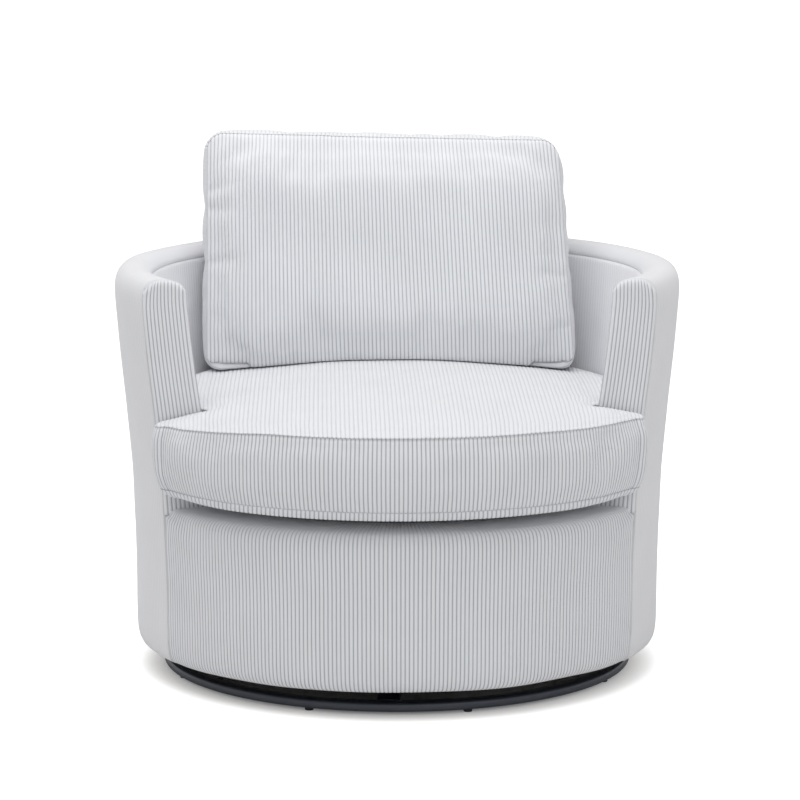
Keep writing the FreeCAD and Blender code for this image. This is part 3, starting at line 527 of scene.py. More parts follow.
def wall_cover(name, profile, back, rows, columns, breadth, swell_of):
    """A cover of the wall from arm front to arm front, as broad as given, swelled by its padding."""
    line = smooth_line(profile, rows)
    places = np.linspace(-1, 1, columns)
    points = swept(line, places, FRONT_PLANE, True)
    points = points + normals_of(points) * swell_of(points)[..., None]
    points[:, 0, 1] = points[:, -1, 1] = -FRONT_PLANE
    panel = (points, places * breadth / WALE_PITCH, walked(line)[:, None] / WALE_PITCH)
    return backed(name, panel, profile, back, places, FRONT_PLANE, True)


def product(material, first, second):
    return add_node(material, "Math", {"operation": "MULTIPLY"}, {0: first, 1: second})


def corduroy_named(name, crest, groove, relief):
    """Polyester corduroy: brushed pile cut in wales 5.8 mm apart. Relief is the bump of wales that
    the mesh leaves out. The pile is drawn at 1.3 mm, coarser than its fibres, so that it shows."""
    material, shader = finish_named(name, {
        "Roughness": 0.95, "Sheen Weight": 0.35, "Sheen Roughness": 0.5, "Specular IOR Level": 0.2,
    })
    wales = add_node(material, "UVMap", {"uv_map": "wales"})
    place = add_node(material, "TexCoord")
    number = add_node(material, "SeparateXYZ", {}, {"Vector": (wales, "UV")})
    across = add_node(material, "Math", {"operation": "FRACT"}, {0: (number, "X")})
    aside = add_node(material, "Math", {"operation": "SUBTRACT", 1: 0.5}, {0: (across, 0)})
    from_crest = add_node(material, "Math", {"operation": "ABSOLUTE"}, {0: (aside, 0)})
    pile = add_node(material, "TexNoise", {"Scale": 770, "Detail": 3}, {"Vector": (place, "Object")})
    brushed = add_node(material, "TexNoise", {"Scale": 16, "Detail": 3}, {"Vector": (place, "Object")})
    # The crest and groove colours are mixed by this profile. The darker groove colour is painted shade in the
    # grooves.
    depth = add_node(material, "MapRange", {
        "From Min": 0.24, "From Max": 0.5, "interpolation_type": "SMOOTHSTEP",
    }, {"Value": (from_crest, 0)})
    # Painted light from above: on panels that face up, the painted groove shade falls to about a third.
    facing = add_node(material, "NewGeometry")
    upward = add_node(material, "SeparateXYZ", {}, {"Vector": (facing, "Normal")})
    painted_light_from_above = add_node(material, "MapRange", {
        "From Min": 0.2, "From Max": 0.95, "To Min": 1, "To Max": 0.35,
    }, {"Value": (upward, "Z")})
    shade = product(material, (depth, "Result"), (painted_light_from_above, "Result"))
    tint = mixed(material, crest, groove, (shade, 0))
    uneven = add_node(material, "MapRange", {"To Min": 0.955, "To Max": 1.03}, {"Value": (brushed, "Fac")})
    speckle = add_node(material, "MapRange", {"To Min": 0.96, "To Max": 1.04}, {"Value": (pile, "Fac")})
    both = product(material, (uneven, "Result"), (speckle, "Result"))
    shaded = add_node(material, "VectorMath", {"operation": "SCALE"}, {0: (tint, 2), "Scale": (both, 0)})
    surface = bumped(material, 0.25, 0.0004, (pile, "Fac"))
    if relief:
        hollow = add_node(material, "Math", {"operation": "MULTIPLY", 1: -1}, {0: (depth, "Result")})
        fibres = surface
        surface = bumped(material, 1, relief / 1000, (hollow, 0))
        join_to(material, surface, {"Normal": (fibres, "Normal")})
    join_to(material, shader, {"Base Color": (shaded, "Vector"), "Normal": (surface, "Normal")})
    return material


def shell_swell(points):
    fade = np.clip(np.arange(len(points))[::-1] / 12, 0, 1)
    return 0.5 * soft_noise(points, 120, 3) * fade[:, None]


smooth_corduroy = corduroy_named("polyester corduroy, pale grey, brushed flat", "#dedee1", "#d6d7da", 0.12)
shell = wall_cover("outer_shell_cover", SHELL_PROFILE, SHELL_BACK, 120, 360, 770, shell_swell)
settle(shell, "outer_shell_cover", smooth_corduroy, "chair", ["outer_upholstery"])


# Lining. The same corduroy over a foam sheet lines the tub, sewn to the outer
# shell just inside the rim and stapled to the seat ring below the deck.
LINING_PROFILE = [
    (312.2, 240.2), (313, 247), (315.8, 270), (320.6, 310), (325.4, 350), (330.4, 390), (335.2, 430),
    (339.4, 470), (342.6, 505), (345, 535), (345.8, 548), (346.2, 554), (346.5, 557), (347.8, 558),
]
LINING_BACK = [(357, 555.5), (352, 500), (338, 380), (328, 300), (323.8, 240.2)]


def lining_swell(points):
    fade = np.clip((555 - points[..., 2]) / 30, 0, 1)
    return -(0.5 * soft_noise(points, 140, 5) + 0.2) * fade


lining = wall_cover("tub_lining", LINING_PROFILE, LINING_BACK, 70, 340, 703.5, lining_swell)
# The lining's corduroy is a lighter copy of the shell's, with lighter grooves: painted light inside the tub,
# where the lamps leave it darker.
lining_corduroy = corduroy_named(
    "polyester corduroy, pale grey, brushed towards the light", "#f0f0f3", "#e6e7ea", 0.15
)
settle(lining, "tub_lining", lining_corduroy, "chair", ["inner_upholstery"])


# Skirt panel. Corduroy over wadding covers the apron below the seat, its wales
# upright, sewn to the shell at both ends and rolled on to the deck at the top.
WALE_RELIEF = 1.0
SKIRT_PLANE = FRONT_PLANE + 0.5
SKIRT_WALES = 135
SKIRT_CORNER = (326, 256)
SKIRT_PROFILE = [
    (359, 39.7), (363.5, 39.6), (367, 41.5), (370, 45.5), (372, 52), (373, 62), (373.8, 90), (374.3, 130),
    (375, 177), (376, 210), (376.6, 232), (376.2, 242), (374.4, 249.5), (370.6, 255), (365, 257.8),
    (357, 258.8), (340, 260.4), (324, 261.4), (313.5, 261.8),
]
SKIRT_BACK = [(312.6, 260.6), (312.6, 250.9), (358.6, 250.8), (358.6, 41)]


def wale_columns(count):
    """Places across the wales, in wale widths: five to a wale, closer together near the grooves."""
    inside = np.array([0, 0.12, 0.35, 0.65, 0.88])
    return np.append((np.arange(count)[:, None] + inside).ravel(), count)


def wale_height(wales):
    """Height of the pile over its groove, from 0 to 1."""
    return np.sqrt(np.clip(1 - np.abs(2 * (wales % 1) - 1) ** 2.4, 0, 1))


def edge_rise(distance, reach):
    """How full a cushion is near its seam: nothing at the seam, rounding up to 1 at the reach."""
    return np.sqrt(np.clip(1 - (1 - np.clip(distance / reach, 0, 1)) ** 2, 0, 1))


ribbed_corduroy = corduroy_named("polyester corduroy, pale grey, ribbed", "#dedfe2", "#a9abb1", 0)

skirt_line = smooth_line(SKIRT_PROFILE, 64)
skirt_columns = wale_columns(SKIRT_WALES)
skirt_places = skirt_columns / SKIRT_WALES * 2 - 1
points = swept(skirt_line, skirt_places, SKIRT_PLANE, False)
points = points - normals_of(points) * WALE_RELIEF
points = points + normals_of(points) * (0.6 * soft_noise(points, 90, 8))[..., None]
for corner in (-1, 1):
    aside = (points[..., 0] - corner * SKIRT_CORNER[0]) * -corner
    below = SKIRT_CORNER[1] - points[..., 2]
    reach = np.hypot(aside, below)
    fold = 1.9 * np.exp(-reach / 60) * np.cos(7 * np.arctan2(below, aside + 4) + 0.6) * edge_rise(reach, 14)
    points = points + normals_of(points) * fold[..., None]
points = points + normals_of(points) * (WALE_RELIEF * wale_height(skirt_columns))[..., None]
end_tuck = np.exp(-((1 - np.abs(skirt_places)) * 392 / 3) ** 2)
points[..., 0] -= np.sign(points[..., 0]) * 3 * end_tuck
points[..., 1] = np.minimum(points[..., 1] + 1.5 * end_tuck, -FRONT_PLANE - 0.4)
skirt_panel = (points, skirt_columns, walked(skirt_line)[:, None] / WALE_PITCH)
skirt = backed("skirt_cover", skirt_panel, SKIRT_PROFILE, SKIRT_BACK, skirt_places, SKIRT_PLANE, False)
settle(skirt, "skirt_cover", ribbed_corduroy, "chair", ["skirt_panel"])


# Arm front strips. A narrow boxing of corduroy over wadding closes each end of
# the wall, its wales along its length, sewn to the shell and to the lining.
STRIP_LOW = 250
STRIP_BACK = 188.5
STRIP_DEPTH = 6.3
STRIP_ROUND = 9
STRIP_WALES = 12
STRIP_OUTER_TOP = 545
STRIP_INNER_TOP = 548


def wall_x(heights, line):
    """Where a wall's profile meets the arm fronts, across the chair, at each height."""
    line = np.array(line)
    rising = line[: int(np.argmax(line[:, 1])) + 1]
    radius = np.interp(heights, rising[:, 1], rising[:, 0])
    return np.sqrt(radius**2 - FRONT_PLANE**2)


def strip_edges(heights):
    """The inner and outer edges of a strip across the chair, just within the lining and the shell."""
    inner = wall_x(np.minimum(heights, STRIP_INNER_TOP), LINING_PROFILE) + 0.8
    outer = wall_x(np.minimum(heights, STRIP_OUTER_TOP), SHELL_PROFILE) - 1.2
    return inner, outer


columns = wale_columns(STRIP_WALES)
share = columns / STRIP_WALES
inner_top, outer_top = strip_edges(STRIP_INNER_TOP)
across_top = inner_top + share * (outer_top - inner_top)
roll_line = np.array([spot for spot in SHELL_PROFILE if spot[1] > 539][:-1])
roll_line = roll_line[np.argsort(roll_line[:, 0])]
tops = np.interp(np.hypot(across_top, FRONT_PLANE), roll_line[:, 0], roll_line[:, 1]) - 1
rows = np.concatenate([
    np.linspace(0, 0.9, 40, endpoint=False), 0.9 + 0.1 * np.sin(np.linspace(0, math.pi / 2, 16)),
])
heights = STRIP_LOW + rows[:, None] * (tops - STRIP_LOW)[None, :]
inner_x, outer_x = strip_edges(heights)
from_top = tops[None, :] - heights
near_corner = np.clip((share - 0.55) / 0.3, 0, 1) * np.clip((1 - share) / 0.12, 0, 1)
across = inner_x + share[None, :] * (outer_x - inner_x) - 5 * np.exp(-from_top / 13) * near_corner[None, :]
from_side = np.minimum(across - inner_x, outer_x - across)
roll = edge_rise(np.minimum(from_side, from_top * 0.9), STRIP_ROUND)
depth = STRIP_BACK + 0.2 + (STRIP_DEPTH - WALE_RELIEF) * roll
relief = WALE_RELIEF * wale_height(columns) * np.clip(roll * 1.5, 0, 1)
for side, sign in (("left", -1), ("right", 1)):
    points = np.stack([sign * across, -depth, heights], 2)
    points[..., 1] -= 0.4 * soft_noise(points, 60, 11 + sign) * roll
    outward = normals_of(points)
    outward *= np.sign(-outward[..., 1:2] + 1e-9)
    points = points + outward * relief[..., None]
    points[..., 1] = np.minimum(points[..., 1], -STRIP_BACK)
    strip = sew(f"arm_strip_{side}", [(points, columns, (heights - STRIP_LOW) / WALE_PITCH)])
    with reshaped(strip) as shape:
        rim = [edge for edge in shape.edges if edge.is_boundary]
        grown = bmesh.ops.extrude_edge_only(shape, edges=rim)
        for vertex in (item for item in grown["geom"] if isinstance(item, bmesh.types.BMVert)):
            vertex.co.y = -STRIP_BACK / 1000
    close_up(strip)
    settle(strip, f"arm_strip_{side}", ribbed_corduroy, "chair", [f"arm_front_panel_{side}"])


# Seat cushion. A loose T-shaped cushion with a foam core: top and bottom panels
# with their wales front to back, and an upright boxing sewn between two seams.
SEAT_FRONT = 402
SEAT_REAR = 327
SEAT_EAR_X = 338
SEAT_EAR_FRONT = 238
SEAT_EAR_BACK = 200
SEAT_EAR_CORNER = 14
SEAT_NECK = 192
SEAT_FLAT = 262.6
SEAT_LOW_SEAM = 293
SEAT_HIGH_SEAM = 391
SEAT_CROWN = 417
SEAT_CROWN_RADIUS = (1900, 3100)
SEAT_CROWN_FORWARD = 50
SEAT_ROUND = 62
SEAT_BULGE = 0.6
SEAT_SWELL_LIMIT = 6
SEAM_DEPTH = 0.6
SEAM_WIDTH = 2.2
EAR_DROOP = (14, 4)
# How far the ends of the ears draw in at each height.
EAR_DRAW = [(262, 24), (276, 18), (286, 12), (293, 8.5), (302, 5), (318, 2), (345, 0), (370, 0), (391, 4)]
NOTCH_RISE = 10
NOTCH_REACH = 36

front_x = SEAT_EAR_X - SEAT_EAR_CORNER
neck_x = math.sqrt(SEAT_REAR**2 - SEAT_NECK**2)


def seat_outline():
    """The seams of the seat cushion in plan, round from the middle of the front, in small steps."""
    arc_end = math.atan2(front_x, SEAT_EAR_FRONT)
    points = [(SEAT_FRONT * math.sin(a), -SEAT_FRONT * math.cos(a)) for a in np.linspace(0, arc_end, 60)]
    middle = (SEAT_EAR_FRONT + SEAT_EAR_BACK) / 2
    half = (SEAT_EAR_FRONT - SEAT_EAR_BACK) / 2
    points += [
        (front_x + SEAT_EAR_CORNER * math.cos(a), -middle + half * math.sin(a))
        for a in np.linspace(-math.pi / 2, math.pi / 2, 18)[1:]
    ]
    points += [(x, -SEAT_EAR_BACK) for x in np.linspace(front_x, neck_x, 12)[1:]]
    start = math.atan2(-SEAT_NECK, neck_x)
    points += [
        (SEAT_REAR * math.cos(a), SEAT_REAR * math.sin(a)) for a in np.linspace(start, math.pi / 2, 90)
    ]
    left = [(-x, y) for x, y in reversed(points[1:-1])]
    return np.array(points + left)


def from_outline(places, ring):
    """For each place in plan: its distance from the closed ring, and how far along the ring it lies."""
    spans = np.roll(ring, -1, axis=0) - ring
    lengths = np.linalg.norm(spans, axis=1)
    along = np.concatenate([[0], np.cumsum(lengths)[:-1]])
    flat = places.reshape(-1, 2)
    best = np.full(len(flat), 1e9)
    where = np.zeros(len(flat))
    for start, span, length, before in zip(ring, spans, lengths, along):
        share = np.clip(((flat - start) @ span) / length**2, 0, 1)
        gap = np.linalg.norm(flat - start - share[:, None] * span, axis=1)
        closer = gap < best
        best[closer] = gap[closer]
        where[closer] = before + share[closer] * length
    return best.reshape(places.shape[:-1]), where.reshape(places.shape[:-1])


def boxing_along(ring, reach):
    """A boxing strip on a closed ring: its wale columns, their places in plan and their ways out."""
    closed = np.vstack([ring, ring[:1]])
    steps = walked(closed)
    count = round(float(steps[-1]) / WALE_PITCH)
    columns = wale_columns(count)
    places = columns / count * steps[-1]
    plan = np.stack([np.interp(places, steps, closed[:, axis]) for axis in (0, 1)], 1)
    tangent = np.roll(plan, -reach, axis=0) - np.roll(plan, reach, axis=0)
    outward = np.stack([tangent[:, 1], -tangent[:, 0]], 1)
    return columns, plan, outward / np.maximum(np.linalg.norm(outward, axis=1, keepdims=True), 1e-9)


def boxing_reach(columns, rows, width, bulge, raised=1):
    """How far each point of a boxing stands out: its bulge, less the pull of the seams, and its wales."""
    pull = np.exp(-((1 - np.abs(2 * rows - 1)) * width / 2 / SEAM_WIDTH) ** 2)
    form = bulge * (1 - (2 * rows - 1) ** 2) - WALE_RELIEF - SEAM_DEPTH * pull
    relief = WALE_RELIEF * wale_height(columns)[None, :] * np.clip(1 - 0.7 * pull, 0, 1)[:, None]
    return form[:, None] + relief * raised


def eased_rows(count, share):
    """Rows from 0 to 1, set closer together at both ends."""
    rows = np.linspace(0, 1, count)
    return share * (0.5 - 0.5 * np.cos(rows * math.pi)) + (1 - share) * rows


def zip_seam(shape, upper, lower, where):
    """Joins two loops of a seam with triangles, each side stepping on when it lies behind."""
    def ordered(loop):
        marks = [where(vertex) for vertex in loop]
        first = int(np.argmin(marks))
        loop = loop[first:] + loop[:first]
        marks = marks[first:] + marks[:first]
        if sum(b > a for a, b in zip(marks, marks[1:])) < len(marks) / 2:
            loop = [loop[0]] + loop[:0:-1]
            marks = [marks[0]] + marks[:0:-1]
        return loop, marks
    (first, first_marks), (second, second_marks) = ordered(upper), ordered(lower)
    here = there = 0
    while here < len(first) or there < len(second):
        a, b = first[here % len(first)], second[there % len(second)]
        next_a = first_marks[here + 1] if here + 1 < len(first) else 1e9 + here
        next_b = second_marks[there + 1] if there + 1 < len(second) else 1e9 + there
        if here < len(first) and (next_a <= next_b or there >= len(second)):
            here += 1
            trio = (a, first[here % len(first)], b)
        else:
            there += 1
            trio = (a, second[there % len(second)], b)
        if len(set(trio)) == 3 and not shape.faces.get(trio):
            shape.faces.new(trio).smooth = True


def open_loops(shape):
    """The open edges of a mesh as loops of vertices, longest first."""
    left = dict.fromkeys(edge for edge in shape.edges if edge.is_boundary)
    loops = []
    while left:
        edge, _ = left.popitem()
        loop = [edge.verts[0], edge.verts[1]]
        while True:
            following = [e for e in loop[-1].link_edges if e in left]
            if not following:
                break
            del left[following[0]]
            loop.append(following[0].other_vert(loop[-1]))
        if loop[0] is loop[-1]:
            loop.pop()
        loops.append(loop)
    return sorted(loops, key=len, reverse=True)


def sew_shut(name, panels, ring, plan_axes, level_axis):
    """Sews two panels and the boxing between them into a cushion, and closes both seams."""
    piece = sew(name, panels)
    with reshaped(piece) as shape:
        bmesh.ops.remove_doubles(shape, verts=shape.verts, dist=0.00003)
        bmesh.ops.dissolve_degenerate(shape, edges=shape.edges, dist=1e-7)
        loops = open_loops(shape)[:4]
        loops.sort(key=lambda loop: sum(vertex.co[level_axis] for vertex in loop) / len(loop))
        marks = {}
        for loop in loops:
            spots = np.array([[vertex.co[axis] for axis in plan_axes] for vertex in loop]) * 1000
            marks.update(zip(loop, from_outline(spots, ring)[1]))
        zip_seam(shape, loops[0], loops[1], marks.get)
        zip_seam(shape, loops[2], loops[3], marks.get)
        bmesh.ops.recalc_face_normals(shape, faces=shape.faces)
    return piece


def front_edge(x):
    """The front of the seat cushion in plan: a wide arc with a round corner at each ear."""
    x = np.abs(x)
    turn = np.sqrt(np.clip(1 - (np.clip(x - front_x, 0, None) / SEAT_EAR_CORNER) ** 2, 0, 1))
    corner = -(SEAT_EAR_FRONT + SEAT_EAR_BACK) / 2 - (SEAT_EAR_FRONT - SEAT_EAR_BACK) / 2 * turn
    return np.where(x <= front_x, -np.sqrt(SEAT_FRONT**2 - np.minimum(x, front_x) ** 2), corner)


def ear_back(x):
    """The back of the ears in plan: straight, with the other half of the round corner."""
    turn = np.sqrt(np.clip(1 - (np.clip(x - front_x, 0, None) / SEAT_EAR_CORNER) ** 2, 0, 1))
    corner = -(SEAT_EAR_FRONT + SEAT_EAR_BACK) / 2 + (SEAT_EAR_FRONT - SEAT_EAR_BACK) / 2 * turn
    return np.where(x <= front_x, -SEAT_EAR_BACK, corner)


def plan_between(xs, low, high, shares):
    ys = low + shares[:, None] * (high - low)
    return np.stack([np.broadcast_to(xs, ys.shape), ys], 2)


def shares_over(count):
    """Rows from 0 to 1, set closer together at the start."""
    return 0.35 * (1 - np.cos(np.linspace(0, math.pi / 2, count))) + 0.65 * np.linspace(0, 1, count)


def seat_panel_parts(rows_front, rows_neck, rows_rear):
    """The plan of a seat panel in five grids: the middle, both ears and both lobes behind them."""
    half_count = int(neck_x // WALE_PITCH)
    pitch = neck_x / half_count
    front_shares = shares_over(rows_front)
    rear_shares = 1 - shares_over(rows_rear)[::-1]

    def side_columns(end):
        count = round((end - neck_x) / pitch)
        return neck_x + wale_columns(count) * (end - neck_x) / count

    def rear_edge(x):
        return np.sqrt(np.clip(SEAT_REAR**2 - x**2, 0, None))

    xs = (wale_columns(2 * half_count) - half_count) * pitch
    ear_level, neck_level = np.full(xs.shape, -float(SEAT_EAR_BACK)), np.full(xs.shape, -float(SEAT_NECK))
    front = plan_between(xs, front_edge(xs), ear_level, front_shares)
    neck = plan_between(xs, ear_level, neck_level, np.linspace(0, 1, rows_neck))
    rear = plan_between(xs, neck_level, rear_edge(xs), rear_shares)
    parts = [(np.concatenate([front, neck[1:], rear[1:]]), xs / pitch)]
    ear, lobe = side_columns(SEAT_EAR_X), side_columns(SEAT_REAR)
    ear_plan = plan_between(ear, front_edge(ear), ear_back(ear), front_shares)
    lobe_plan = plan_between(lobe, -rear_edge(lobe), rear_edge(lobe), rear_shares)
    for sign in (-1, 1):
        for plan, xs in ((ear_plan, ear), (lobe_plan, lobe)):
            parts.append(((plan * np.array([sign, 1]))[:, ::sign], (sign * xs / pitch)[::sign]))
    return parts


def pull_in(plan):
    """Moves the edge of a panel in towards the middle of the cushion, where the seam holds it."""
    distance, _ = from_outline(plan, seat_ring)
    share = np.exp(-(distance / 2.5) ** 2)
    reach = np.linalg.norm(plan, axis=2, keepdims=True)
    return plan * (1 - SEAM_DEPTH * share[..., None] / np.maximum(reach, 1))


def seat_top(plan):
    """Heights of the top panel over its plan: a wide crown that falls to the seam at the edges."""
    distance, _ = from_outline(plan, seat_ring)
    crown = SEAT_CROWN - plan[..., 0] ** 2 / (2 * SEAT_CROWN_RADIUS[0])
    crown = crown - (plan[..., 1] + SEAT_CROWN_FORWARD) ** 2 / (2 * SEAT_CROWN_RADIUS[1])
    crown = np.maximum(crown, SEAT_HIGH_SEAM + 5)
    return SEAT_HIGH_SEAM + (crown - WALE_RELIEF - SEAT_HIGH_SEAM) * edge_rise(distance, SEAT_ROUND), distance


def seat_bottom(plan):
    """Heights of the bottom panel: it falls from the seam and lies flat on the deck."""
    distance, _ = from_outline(plan, seat_ring)
    sunk = np.clip((distance - 8) / 150, 0, 1)
    depth = SEAT_LOW_SEAM - SEAT_FLAT - WALE_RELIEF
    fall = 15 * edge_rise(distance, 30) + (depth - 15) * sunk**2 * (3 - 2 * sunk)
    return SEAT_LOW_SEAM - fall, distance


def ease_ears(points):
    """Draws in and lowers both ears, which hang soft, and lifts the cushion at the notches behind them."""
    low = np.interp(points[..., 2], *zip(*EAR_DRAW))
    side = np.clip((np.abs(points[..., 0]) - 225) / 113, 0, 1) ** 1.5
    ahead = np.clip((-150 - points[..., 1]) / 40, 0, 1)
    upper = np.clip((points[..., 2] - 300) / 91, 0, 1)
    moved = points.copy()
    moved[..., 0] -= np.sign(points[..., 0]) * low * side * ahead
    moved[..., 1] += 0.5 * low * side * ahead * np.clip((-205 - points[..., 1]) / 30, 0, 1)
    droop = np.where(points[..., 0] < 0, EAR_DROOP[0], EAR_DROOP[1]) * upper
    moved[..., 2] -= droop * np.clip((np.abs(points[..., 0]) - 170) / 168, 0, 1) ** 1.3 * ahead
    from_notch = (np.abs(points[..., 0]) - neck_x) ** 2 + (points[..., 1] + SEAT_EAR_BACK) ** 2
    notch_rise = NOTCH_RISE * np.exp(-from_notch / (2 * NOTCH_REACH**2))
    moved[..., 2] += notch_rise * upper
    return moved


def spots_of(piece):
    """The vertices of a piece in mm."""
    return np.array([vertex.co for vertex in piece.data.vertices]) * 1000


def put_spots(piece, spots):
    piece.data.vertices.foreach_set("co", (spots / 1000).ravel().astype(np.float32))
    piece.data.update()


def remesh(piece, cell):
    """Makes the mesh of a piece anew in even cells."""
    select_only(piece)
    cells = piece.modifiers.new("cells", "REMESH")
    cells.mode = "VOXEL"
    cells.voxel_size = cell / 1000
    bpy.ops.object.modifier_apply(modifier=cells.name)


def tree_of(spots):
    tree = kdtree.KDTree(len(spots))
    for number, spot in enumerate(spots):
        tree.insert(spot, number)
    tree.balance()
    return tree


def stuff(piece, held, cap):
    """Blows up a coarse copy of a cushion as cloth, held where held() says, and moves the piece with it."""
    copy = placed(piece.name + "_cloth", piece.data.copy())
    remesh(copy, 9)
    rest = spots_of(copy)
    group = copy.vertex_groups.new(name="held")
    group.add([int(spot) for spot in np.nonzero(held(rest))[0]], 1, "REPLACE")
    cloth = copy.modifiers.new("cloth", "CLOTH")
    cloth.settings.quality = 5
    cloth.settings.mass = 0.3
    cloth.settings.tension_stiffness = 12
    cloth.settings.compression_stiffness = 12
    cloth.settings.shear_stiffness = 4
    cloth.settings.bending_stiffness = 0.4
    cloth.settings.use_pressure = True
    cloth.settings.uniform_pressure_force = 4
    cloth.settings.shrink_min = -0.025
    cloth.settings.effector_weights.gravity = 0
    cloth.settings.vertex_group_mass = "held"
    cloth.point_cache.frame_end = 20
    for moment in range(1, 21):
        bpy.context.scene.frame_set(moment)
    moved = spots_of(copy.evaluated_get(bpy.context.evaluated_depsgraph_get())) - rest
    bpy.context.scene.frame_set(1)
    far = np.linalg.norm(moved, axis=1, keepdims=True)
    moved *= np.minimum(1, cap / np.maximum(far, 1e-6))
    near = tree_of(rest)
    spots = spots_of(piece)
    shifts = np.zeros_like(spots)
    for number, spot in enumerate(spots):
        found = near.find_n(spot, 12)
        weights = np.array([1 / (gap + 12) ** 2 for _, _, gap in found])
        shifts[number] = weights @ moved[[index for _, index, _ in found]] / weights.sum()
    put_spots(piece, spots + shifts)
    bpy.data.objects.remove(copy)


def keep_in_tub(points, gap):
    """Keeps cushion points behind the arm fronts clear of the lining."""
    radii, heights = zip(*LINING_PROFILE)
    limit = np.interp(points[:, 2], heights, radii) - gap
    radius = np.hypot(points[:, 0], points[:, 1])
    inside = (points[:, 1] > -190) & (radius > limit)
    points[inside, :2] *= (limit[inside] / radius[inside])[:, None]
    return points


seat_ring = seat_outline()
seat_panels = []
for heights_of, row_counts, up in ((seat_top, (34, 3, 62), 1), (seat_bottom, (22, 3, 26), -1)):
    for plan, wales in seat_panel_parts(*row_counts):
        heights, distance = heights_of(plan)
        points = np.concatenate([pull_in(plan), heights[..., None]], 2)
        if up > 0:
            points[..., 2] += 1.2 * edge_rise(distance, SEAT_ROUND) * soft_noise(points, 110, 21)
        normal = normals_of(points)
        normal *= np.sign(normal[..., 2:3] * up + 1e-9)
        relief = WALE_RELIEF * wale_height(wales) * np.clip(distance / 3, 0.25, 1)
        seat_panels.append((ease_ears(points + normal * relief[..., None]), wales, plan[..., 1] / WALE_PITCH))

columns, plan, outward = boxing_along(seat_ring, 3)
rows = eased_rows(18, 0.5)
heights = SEAT_LOW_SEAM + rows * (SEAT_HIGH_SEAM - SEAT_LOW_SEAM)
reach = boxing_reach(columns, rows, SEAT_HIGH_SEAM - SEAT_LOW_SEAM, SEAT_BULGE)
points = np.concatenate([
    plan[None] + outward[None] * reach[..., None],
    np.broadcast_to(heights[:, None, None], (len(heights), len(columns), 1)),
], 2)
uneven = 0.8 * soft_noise(points, 70, 27) * (1 - (2 * rows[:, None] - 1) ** 2)
points[..., :2] += outward[None] * uneven[..., None]
seat_panels.append((ease_ears(points), columns, heights[:, None] / WALE_PITCH))
seat = sew_shut("seat_cushion_cloth", seat_panels, seat_ring, (0, 1), 2)


def seat_held(points):
    """Both seams and the part that rests on the deck stay where they are."""
    distance, _ = from_outline(points[:, :2], seat_ring[::2])
    seam = np.minimum(np.abs(points[:, 2] - SEAT_LOW_SEAM), np.abs(points[:, 2] - SEAT_HIGH_SEAM))
    return ((distance < 12) & (seam < 6)) | (points[:, 2] < SEAT_LOW_SEAM - 4)


stuff(seat, seat_held, SEAT_SWELL_LIMIT)
spots = keep_in_tub(spots_of(seat), 1)
behind_strip = (np.abs(spots[:, 0]) > 262) & (spots[:, 1] < -190)
spots[behind_strip, 1] = np.minimum(spots[behind_strip, 1], -STRIP_BACK - STRIP_DEPTH - 1.6)
spots[:, 2] = np.maximum(spots[:, 2], SEAT_FLAT)
put_spots(seat, spots)
settle(seat, "seat_cushion_cloth", ribbed_corduroy, "seat_cushion", ["seat_cushion_cover"])

# Polyurethane foam: pale cream, with open cells drawn at 1.5 mm so that they show.
foam = patterned(
    "polyurethane foam, cream", {"Roughness": 1}, "TexVoronoi", {"Scale": 660},
    tints=("#cdbf93", "#efe6c8"), bump=(0.5, 0.0004), output="Distance",
)


def soft_copy(node_name, name):
    """A filling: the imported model's solid, made anew in small cells and rounded."""
    piece = placed(name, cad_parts[node_name].data.copy())
    with reshaped(piece) as shape:
        bmesh.ops.remove_doubles(shape, verts=shape.verts, dist=0.00001)
    remesh(piece, 8)
    rounded = piece.modifiers.new("rounded", "SMOOTH")
    rounded.factor = 0.5
    rounded.iterations = 8
    bpy.ops.object.modifier_apply(modifier=rounded.name)
    bpy.ops.object.shade_smooth()
    return piece


seat_foam = soft_copy("seat_cushion_filling", "seat_foam_core")
spots = ease_ears(spots_of(seat_foam))
spots[:, 2] = np.clip(spots[:, 2], seat_bottom(spots[:, :2])[0] + 6, 380)
put_spots(seat_foam, spots)
settle(seat_foam, "seat_foam_core", foam, "seat_cushion", ["seat_cushion_filling"])


# Back cushion. A loose fibre-filled cushion leans on the tub: front and back
# panels with upright wales, and a boxing that turns smooth at the lower corners.
BACK_LEFT = ((-274, 400), (-272, 750))
BACK_RIGHT = ((261, 400), (236, 750))
BACK_TOPS = (752, 745, 740)
BACK_WIDTH = 536
BACK_WALES = 93
BACK_CORNER = 26
BACK_BOXING = 92
BACK_BULGE = 4
BACK_SEAM_Y = 100
BACK_LEAN = 8
BACK_FRONT_FULL = 27
BACK_REAR_FULL = 36
BACK_FOOT = 402
BACK_HEAD = 748
BACK_SWELL_LIMIT = 9
GUSSET_LIFT = 13
# Creases run in from the sides: (x at the side, height, slope).
BACK_CREASES = [(-272, 665, 0.2), (-274, 640, -0.1), (-273, 560, 0.15), (258, 470, -0.2), (252, 540, 0.1)]


def lean_back(points):
    """Leans points, given upright at the front seam's foot, back about the foot of the cushion."""
    angle = math.radians(BACK_LEAN)
    y = points[..., 1] - BACK_SEAM_Y
    z = points[..., 2] - BACK_FOOT
    return np.stack([
        points[..., 0], BACK_SEAM_Y + y * math.cos(angle) + z * math.sin(angle),
        BACK_FOOT - y * math.sin(angle) + z * math.cos(angle),
    ], -1)


def corner_rise(distance):
    """How much a corner of the back cushion rounds off at a distance from its side."""
    return BACK_CORNER * (1 - np.sqrt(1 - np.clip(1 - distance / BACK_CORNER, 0, 1) ** 2))


